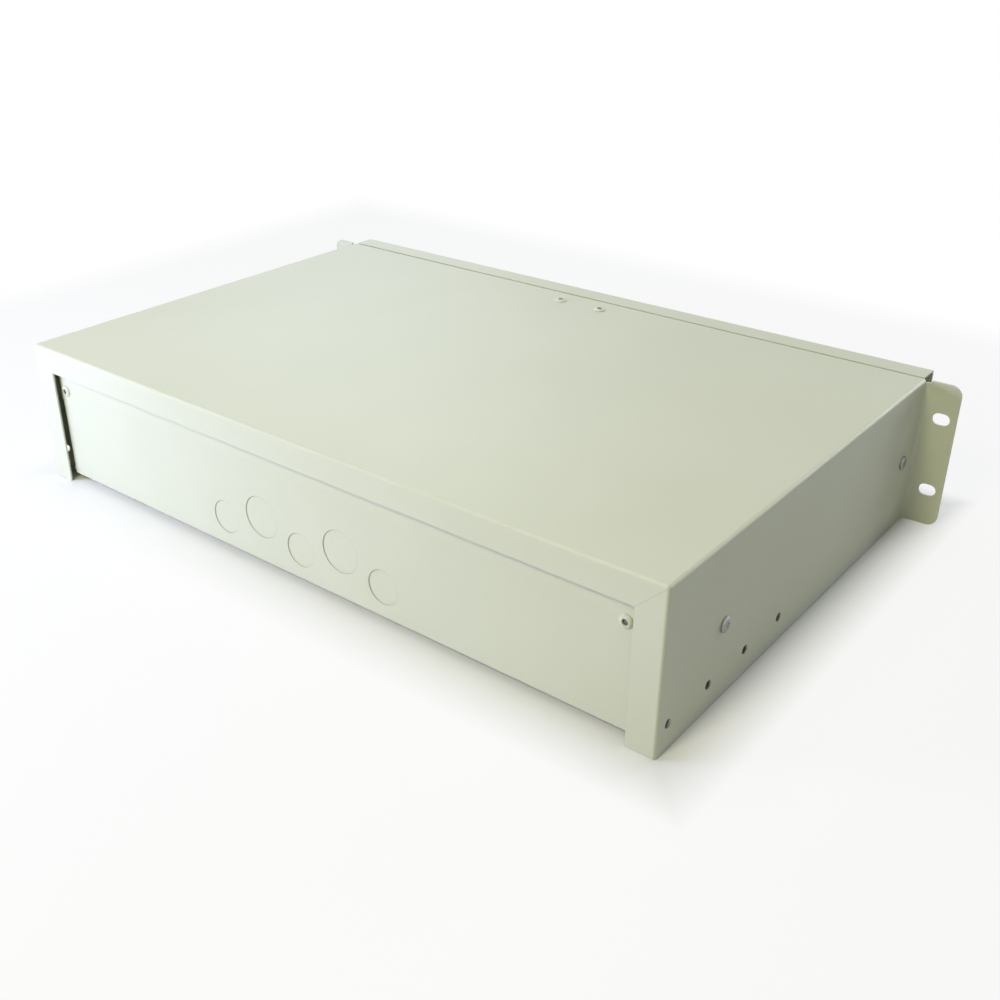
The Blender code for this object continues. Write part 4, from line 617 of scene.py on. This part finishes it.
# fiber spool: base flange, hub and top flange in one turned profile, with a dished top and a snap post in it
spoolLook = {"steps": 96, "flange": 0.0020, "hub": 0.026, "top": 0.032, "dish": 0.0012, "lip": 0.0035,
             "lipFoot": 0.002, "post": 0.006, "postFoot": 0.001, "postMiddle": 0.002, "baseMiddle": 0.004,
             "round": 0.0007, "roundSteps": 5}
for nodeName in ("fiber_spool_left", "fiber_spool_right"):
    low, high = boxOf(nodeName)
    base, tall = (high[0] - low[0]) / 2, high[2] - low[2]
    look, hub = spoolLook, spoolLook["hub"]
    under, dish = tall - look["flange"], tall - look["dish"]
    profile = softProfile([(look["baseMiddle"], 0.0), (base, 0.0), (base, look["flange"]), (hub, look["flange"]),
                           (hub, under), (look["top"], under), (look["top"], tall), (hub + look["lip"], tall),
                           (hub + look["lipFoot"], dish), (look["post"] + look["postFoot"], dish),
                           (look["post"], tall), (look["postMiddle"], tall)], look["round"], look["roundSteps"])
    shape = aimed(turned(profile, look["steps"]), (0, 0, 1), standOn(low, high))
    stand(nodeName + "_turned", meshOf(nodeName + "_turned", shape), nodeName)

# thumb nut: the turned profile's outer radius dips between lobes by half of one less the cosine
nutLook = {"steps": 160, "lobes": 10, "dip": 0.0008, "bore": 0.00285, "boreFrom": 0.0004, "boreTo": 0.0006,
           "sink": 0.0014, "sinkWide": 0.0006, "crown": 0.72, "crownFoot": 0.62, "round": 0.0009, "roundSteps": 5,
           "dish": 0.0008}
low, high = boxOf("tray_thumb_nut")
radius, tall = (high[0] - low[0]) / 2, high[2] - low[2]
look, bore = nutLook, nutLook["bore"]
profile = softProfile([(bore, look["boreFrom"]), (bore, 0.0), (radius, 0.0), (radius, tall),
                       (radius * look["crown"], tall), (radius * look["crownFoot"], tall - look["dish"]),
                       (bore + look["sinkWide"], tall - look["dish"]), (bore, tall - look["sink"]),
                       (bore, look["boreTo"])], look["round"], look["roundSteps"])
angle = np.linspace(0, 2 * np.pi, look["steps"], endpoint=False)
share = np.clip((profile[:, :1] - bore) / (radius - bore), 0, 1) ** 2
reach = profile[:, :1] - share * look["dip"] * (1 - np.cos(look["lobes"] * angle)) / 2
rows = np.stack((reach * np.cos(angle), reach * np.sin(angle), profile[:, 1:] + 0 * angle), axis=-1)
shape = aimed(skin(rows, True), (0, 0, 1), standOn(low, high))
stand("tray_thumb_nut_turned", meshOf("tray_thumb_nut_turned", shape), "tray_thumb_nut")

# tray post: a thread, the radius less a triangle wave of height and angle that climbs one pitch each turn
postLook = {"pitch": 0.0008, "deep": 0.00035, "rows": 6, "steps": 24, "plain": 0.018}
low, high = boxOf("tray_post")
radius, tall = (high[0] - low[0]) / 2, high[2] - low[2]
height = np.linspace(0, tall, int(tall / postLook["pitch"] * postLook["rows"]))[:, None]
angle = np.linspace(0, 2 * np.pi, postLook["steps"], endpoint=False)[None]
wave = np.abs((height / postLook["pitch"] - angle / (2 * np.pi)) % 1 * 2 - 1)
ease = np.clip((height - postLook["plain"]) / postLook["pitch"], 0, 1)
taper = np.clip((tall - height) / postLook["pitch"], 0, 1)
reach = radius - postLook["deep"] * np.maximum(ease * wave, 1 - taper)
rows = np.stack((reach * np.cos(angle), reach * np.sin(angle), height + 0 * angle), axis=-1)
shape = aimed(skin(rows), (0, 0, 1), standOn(low, high))
stand("tray_post_turned", meshOf("tray_post_turned", shape), "tray_post")
print("pins, spools and tray hardware turned")

# ball cage: a channel path set off by the sheet's thickness and carried along y, with a ball in each pocket
cageLook = {"sheet": 0.0008, "bend": 0.0016, "bendSteps": 6, "ball": 0.0038, "fromWeb": 0.0044, "count": 4,
            "ballSteps": 28}


def ballShape(radius, steps):
    lift = np.linspace(-np.pi / 2, np.pi / 2, steps // 2 + 1)[1:-1]
    return turned(np.stack((radius * np.cos(lift), radius * np.sin(lift)), axis=-1), steps)


# closed strip: path and its inner offset as one ring in the section, repeated at both ends, with quads across them
def stripShape(path, thick, start, end):
    step = np.gradient(path, axis=0)
    step /= np.linalg.norm(step, axis=1, keepdims=True)
    inner = path + thick * np.stack((-step[:, 1], step[:, 0]), axis=-1)
    ring = np.concatenate((path, inner[::-1]))
    size, half = len(ring), len(path)
    points = np.concatenate([np.stack((ring[:, 0], np.full(size, y), ring[:, 1]), axis=-1) for y in (start, end)])
    index = np.arange(size)
    ahead = np.roll(index, -1)
    faces = np.stack((index + size, ahead + size, ahead, index), axis=-1)
    i = np.arange(half - 1)
    lid = np.stack((i + 1, size - 2 - i, size - 1 - i, i), axis=-1)
    return points, np.concatenate((faces, lid, lid[:, ::-1] + size)).tolist()


for nodeName, hand in (("ball_cage_left", -1.0), ("ball_cage_right", 1.0)):
    low, high = boxOf(nodeName)
    web, free = (high[0], low[0]) if hand > 0 else (low[0], high[0])
    middle, ballRise = (low[2] + high[2]) / 2, (high[2] - low[2] - cageLook["ball"]) / 2
    top = ballRise + cageLook["sheet"] / 2
    path = softProfile([(free, middle + top), (web, middle + top), (web, middle - top), (free, middle - top)],
                       cageLook["bend"], cageLook["bendSteps"])
    path = path if hand < 0 else path[::-1]
    shapes = [stripShape(path, cageLook["sheet"], low[1], high[1])]
    pockets = low[1] + (high[1] - low[1]) * (np.arange(cageLook["count"]) + 0.5) / cageLook["count"]
    for z in (middle - ballRise, middle + ballRise):
        for y in pockets:
            ball = ballShape(cageLook["ball"] / 2, cageLook["ballSteps"])
            shapes.append(aimed(ball, (0, 0, 1), (web - hand * cageLook["fromWeb"], y, z)))
    stand(nodeName + "_balls", meshOf(nodeName + "_balls", together(shapes)), nodeName)
print("ball cages made")


# rounded rectangles as rows: each row is the outline grown by an amount at a depth, front last; a row shrunk past its
# corner radius keeps the least radius and pulls its corners in
leastRadius = 0.0001


def roundRows(wide, tall, corner, profile, steps=8):
    quarter = np.linspace(0, np.pi / 2, steps)
    angle = (np.arange(4)[:, None] * np.pi / 2 + quarter[None]).ravel()
    grow, depth = profile[:, :1], profile[:, 1:]
    radius = np.maximum(corner + grow, leastRadius)
    past = np.minimum(corner + grow - leastRadius, 0.0)
    x = np.repeat(np.array([1, -1, -1, 1]), steps) * (wide / 2 - corner + past) + radius * np.cos(angle)
    z = np.repeat(np.array([1, 1, -1, -1]), steps) * (tall / 2 - corner + past) + radius * np.sin(angle)
    return np.stack((x, depth + 0 * angle, z), axis=-1)


# splice tray: one skin of rounded rectangles under the floor, up the wall and down inside it, with round winding
# guides and a comb of rounded ribs standing in the floor
trayLook = {"corner": 0.018, "wall": 0.0016, "round": 0.0006, "steps": 16, "middle": 0.0178, "sunk": 0.0008,
            "guide": 0.026, "guideTall": 0.007, "guideAt": 0.052, "guideSteps": 96, "ribLong": 0.034,
            "ribWide": 0.0016, "ribTall": 0.0065, "ribs": 7, "pitch": 0.0039, "baseTall": 0.002, "baseOut": 0.001,
            "ribRound": 0.0004, "ribCrown": 1.8, "roundSteps": 4, "sharp": 45}


# rounded rectangles lying flat: the profile gives growth and height, bottom first
def flatRows(wide, deep, corner, profile, steps):
    return roundRows(wide, deep, corner, profile, steps)[..., [0, 2, 1]]


def ribShape(wide, deep, bottom, top, place):
    look = trayLook
    edge, steps = look["ribRound"], look["roundSteps"]
    profile = softProfile([(-edge, bottom), (0.0, bottom), (0.0, top), (-edge * look["ribCrown"], top)], edge, steps)
    return skin(flatRows(wide, deep, edge, profile, steps) + np.array(place))


def trayShape(low, high):
    look = trayLook
    bottom, top, floor = low[2], high[2], low[2] + look["wall"]
    centre = np.array([(low[0] + high[0]) / 2, (low[1] + high[1]) / 2, 0.0])
    profile = softProfile([(-look["middle"], bottom), (0.0, bottom), (0.0, top), (-look["wall"], top),
                           (-look["wall"], floor), (-look["middle"], floor)], look["round"], look["roundSteps"])
    dish = flatRows(high[0] - low[0], high[1] - low[1], look["corner"], profile, look["steps"])
    shapes = [skin(dish + centre)]
    inner, root, crest = look["guide"] - look["wall"], floor - look["sunk"], floor + look["guideTall"]
    ring = softProfile([(inner, root), (look["guide"], root), (look["guide"], crest), (inner, crest), (inner, root)],
                       look["ribRound"], look["roundSteps"])[:-1]
    for side in (-1, 1):
        guide = turned(ring, look["guideSteps"], True)
        shapes.append((guide[0] + centre + np.array([side * look["guideAt"], 0, 0]), guide[1]))
    comb = (look["ribs"] - 1) * look["pitch"] + look["ribWide"] + look["baseOut"]
    shapes.append(ribShape(look["ribLong"] + look["baseOut"], comb, root, floor + look["baseTall"], centre))
    for rib in np.arange(look["ribs"]) - (look["ribs"] - 1) / 2:
        place = centre + np.array([0, rib * look["pitch"], 0])
        shapes.append(ribShape(look["ribLong"], look["ribWide"], floor, floor + look["ribTall"], place))
    return together(shapes)


for nodeName in ("splice_tray_lower", "splice_tray_upper"):
    mesh = meshOf(nodeName + "_moulded", trayShape(*boxOf(nodeName)), trayLook["sharp"])
    stand(nodeName + "_moulded", mesh, nodeName)
print("splice trays moulded")

# finger pull: rounded rectangles from the cup's back, out over the rim, and in again down the drafted pocket
pullLook = {"wide": 0.064, "tall": 0.020, "corner": 0.005, "rim": 0.003, "rimThick": 0.0012, "wall": 0.0016,
            "mouth": 0.7, "draft": 0.0010, "floor": 0.0016, "backIn": 0.0030, "floorIn": 0.0045, "round": 0.0006,
            "roundSteps": 5}
low, high = boxOf("door_pull")
look = pullLook
back, face = high[1], low[1]
step, floor = face + look["rimThick"], back - look["floor"]
profile = softProfile([(-look["backIn"], back), (0.0, back), (0.0, step), (look["rim"], step), (look["rim"], face),
                       (-look["wall"] * look["mouth"], face), (-look["wall"] - look["draft"], floor),
                       (-look["floorIn"], floor)], look["round"], look["roundSteps"])
rows = roundRows(look["wide"], look["tall"], look["corner"], profile) + np.array([0, 0, (low[2] + high[2]) / 2])
stand("door_pull_moulded", meshOf("door_pull_moulded", skin(rows)), "door_pull")

# dust cap: a drafted grip of rounded rectangles with three shallow grooves round it, and a plug behind for each port
capPiece = {"corner": 0.0012, "grooves": 3, "grooveDeep": 0.00025, "grooveWall": 3, "grooved": (0.14, 0.86),
            "rows": 40, "taper": 0.15, "grip": 0.0065, "round": 0.0004, "noseFrom": 0.2, "noseRows": 5, "flat": 0.0012,
            "plugWide": 0.0044, "plugTall": 0.0064, "plugCorner": 0.0005, "plugSteps": 4, "plugLead": 0.0004,
            "pitch": 0.00625, "ports": 4, "sharp": 45}


def capShape(low, high):
    look = capPiece
    wide, tall = high[0] - low[0], high[2] - low[2]
    front, back = low[1] + look["round"], low[1] + look["grip"]
    along = np.linspace(0.0, 1.0, look["rows"])
    draw = -look["taper"] / 2 * tall * along
    ripple = np.cos(2 * np.pi * look["grooves"] * (along - 0.5))
    wave = look["grooveDeep"] * np.clip(ripple * look["grooveWall"], 0, 1)
    inside = (along > look["grooved"][0]) & (along < look["grooved"][1])
    body = np.stack((draw - wave * inside, back + (front - back) * along), axis=-1)
    turn = np.linspace(look["noseFrom"], 1.0, look["noseRows"]) * np.pi / 2
    nose = np.stack((draw[-1] - look["round"] * (1 - np.cos(turn)), front - look["round"] * np.sin(turn)), axis=-1)
    profile = np.concatenate(([(-look["flat"], back)], body, nose, [(nose[-1, 0] - look["flat"], nose[-1, 1])]))
    centre = np.array([(low[0] + high[0]) / 2, 0, (low[2] + high[2]) / 2])
    shapes = [skin(roundRows(wide, tall, look["corner"], profile) + centre)]
    plug = np.array([(-look["plugLead"], high[1]), (0.0, high[1] - look["plugLead"]), (0.0, back)])
    for port in np.arange(look["ports"]) - (look["ports"] - 1) / 2:
        rows = roundRows(look["plugWide"], look["plugTall"], look["plugCorner"], plug, look["plugSteps"])
        shapes.append(skin(rows + centre + np.array([port * look["pitch"], 0, 0])))
    return together(shapes)


for port in range(1, 7):
    nodeName = "dust_cap_%d" % port
    mesh = meshOf(nodeName + "_moulded", capShape(*boxOf(nodeName)), capPiece["sharp"])
    stand(nodeName + "_moulded", mesh, nodeName)
print("pull and dust caps moulded")

# camera solved from the photo's straight edges, with the picture's centre held near the frame's: place, right and
# forward axes, focal length in pixels
cameraSolve = {"place": (-0.410997, 0.509214, 0.339985), "right": (-0.777594, -0.628759, -0.003091),
               "forward": (0.556437, -0.685849, -0.469029), "focal": 1186.275, "centre": (470.0, 500.0),
               "picture": 1000.0, "sensor": 36.0, "near": 0.01}


def makeCamera():
    data = bpy.data.cameras.new("photoCamera")
    camera = bpy.data.objects.new("photoCamera", data)
    bpy.context.scene.collection.objects.link(camera)
    picture = cameraSolve["picture"]
    data.sensor_width = cameraSolve["sensor"]
    data.lens = cameraSolve["focal"] / picture * cameraSolve["sensor"]
    data.shift_x = 0.5 - cameraSolve["centre"][0] / picture
    data.shift_y = cameraSolve["centre"][1] / picture - 0.5
    right, back = Vector(cameraSolve["right"]), -Vector(cameraSolve["forward"])
    turn = Matrix((right, back.cross(right), back)).transposed().to_4x4()
    camera.matrix_world = Matrix.Translation(cameraSolve["place"]) @ turn
    data.clip_start = cameraSolve["near"]
    bpy.context.scene.camera = camera


makeCamera()

# the low rear lamp stays out of mirror reflections, so it leaves no hot patch on the top seen from the front
lampSet = {
    "rearLeft": {"place": (0.55, 0.62, 0.24), "aim": (0.18, 0.14, 0.04), "size": 0.35, "power": 5.6,
                 "color": (0.65, 0.70, 1.0), "mirrored": False},
    "rearTop": {"place": (-0.12, 0.95, 0.90), "aim": (0.0, 0.08, 0.06), "size": 0.3, "power": 5.4,
                "color": (1.0, 0.95, 0.57), "mirrored": True},
    "overhead": {"place": (0.1, 0.0, 1.35), "aim": (0.0, 0.0, 0.05), "size": 1.3, "power": 8.1,
                 "color": (0.96, 0.99, 1.0), "mirrored": True},
    "nearSide": {"place": (-1.3, 0.35, 0.45), "aim": (-0.2, 0.0, 0.05), "size": 1.0, "power": 0.4,
                 "color": (0.56, 0.75, 1.0), "mirrored": True},
    "frontLeft": {"place": (0.9, -0.8, 0.75), "aim": (0.1, 0.0, 0.08), "size": 0.7, "power": 2.6,
                  "color": (0.76, 0.86, 1.0), "mirrored": True},
    "front": {"place": (-0.5, -1.3, 0.35), "aim": (0.0, -0.1, 0.05), "size": 0.8, "power": 8.5,
              "color": (0.93, 0.97, 1.0), "mirrored": True},
}


def makeLamps():
    for name, lamp in lampSet.items():
        data = bpy.data.lights.new(name + "Lamp", "AREA")
        data.shape = "DISK"
        data.size = lamp["size"]
        data.energy = lamp["power"]
        data.color = lamp["color"]
        lampObject = bpy.data.objects.new(name + "Lamp", data)
        bpy.context.scene.collection.objects.link(lampObject)
        aim = Vector(lamp["aim"]) - Vector(lamp["place"])
        lampObject.location = lamp["place"]
        lampObject.visible_glossy = lamp["mirrored"]
        lampObject.rotation_euler = aim.to_track_quat("-Z", "Y").to_euler()


makeLamps()

roomLook = {"ambient": 0.03, "floor": 0.86, "white": 0.82, "underX": 0.222, "underY": 0.150, "edge": 0.03,
            "fadeFrom": 0.03, "fadeTo": 0.36, "half": 4.0, "below": 0.0002}


# white where the camera or a mirror looks past the floor, and a plain soft light everywhere else
def makeRoom():
    world = bpy.data.worlds.new("studio")
    bpy.context.scene.world = world
    world.use_nodes = True
    tree = world.node_tree
    tree.nodes.clear()
    path = tree.nodes.new("ShaderNodeLightPath").outputs
    seen = math2(tree, "MAXIMUM", path["Is Camera Ray"], path["Is Glossy Ray"])
    seen = math2(tree, "MAXIMUM", seen, path["Is Transmission Ray"])
    level = math2(tree, "ADD", roomLook["ambient"], math2(tree, "MULTIPLY", seen, 1 - roomLook["ambient"]))
    sky = put(tree, "ShaderNodeBackground", None, {"Color": (1, 1, 1, 1), "Strength": level})
    put(tree, "ShaderNodeOutputWorld", None, {"Surface": sky.outputs[0]})

    half = roomLook["half"]
    mesh = bpy.data.meshes.new("studioFloor")
    mesh.from_pydata([(-half, -half, 0), (half, -half, 0), (half, half, 0), (-half, half, 0)], [], [(0, 1, 2, 3)])
    floor = bpy.data.objects.new("studioFloor", mesh)
    floor.location.z = -roomLook["below"]
    bpy.context.scene.collection.objects.link(floor)
    material = bpy.data.materials.new("studioFloor")
    mesh.materials.append(material)
    material.use_nodes = True
    tree = material.node_tree
    tree.nodes.clear()
    x, y = pointParts(tree)[:2]
    offX = math2(tree, "SUBTRACT", absolute(tree, x), roomLook["underX"])
    offY = math2(tree, "SUBTRACT", absolute(tree, y), roomLook["underY"])
    off = math2(tree, "MAXIMUM", offX, offY)
    beside = spread(tree, off, 0.0, roomLook["edge"], 0.0, roomLook["white"])
    far = spread(tree, off, roomLook["fadeFrom"], roomLook["fadeTo"], 0.0, 1.0)
    fade = math2(tree, "MAXIMUM", beside, far)
    matt = put(tree, "ShaderNodeBsdfDiffuse", None, {"Color": (*[roomLook["floor"]] * 3, 1)})
    white = put(tree, "ShaderNodeEmission", None, {"Color": (1, 1, 1, 1), "Strength": 1.0})
    share = math2(tree, "MULTIPLY", fade, tree.nodes.new("ShaderNodeLightPath").outputs["Is Camera Ray"])
    both = put(tree, "ShaderNodeMixShader", None, {0: share, 1: matt.outputs[0], 2: white.outputs[0]})
    put(tree, "ShaderNodeOutputMaterial", None, {"Surface": both.outputs[0]})


makeRoom()
bpy.context.scene.view_settings.view_transform = "Standard"
print("camera, lamps and floor set")
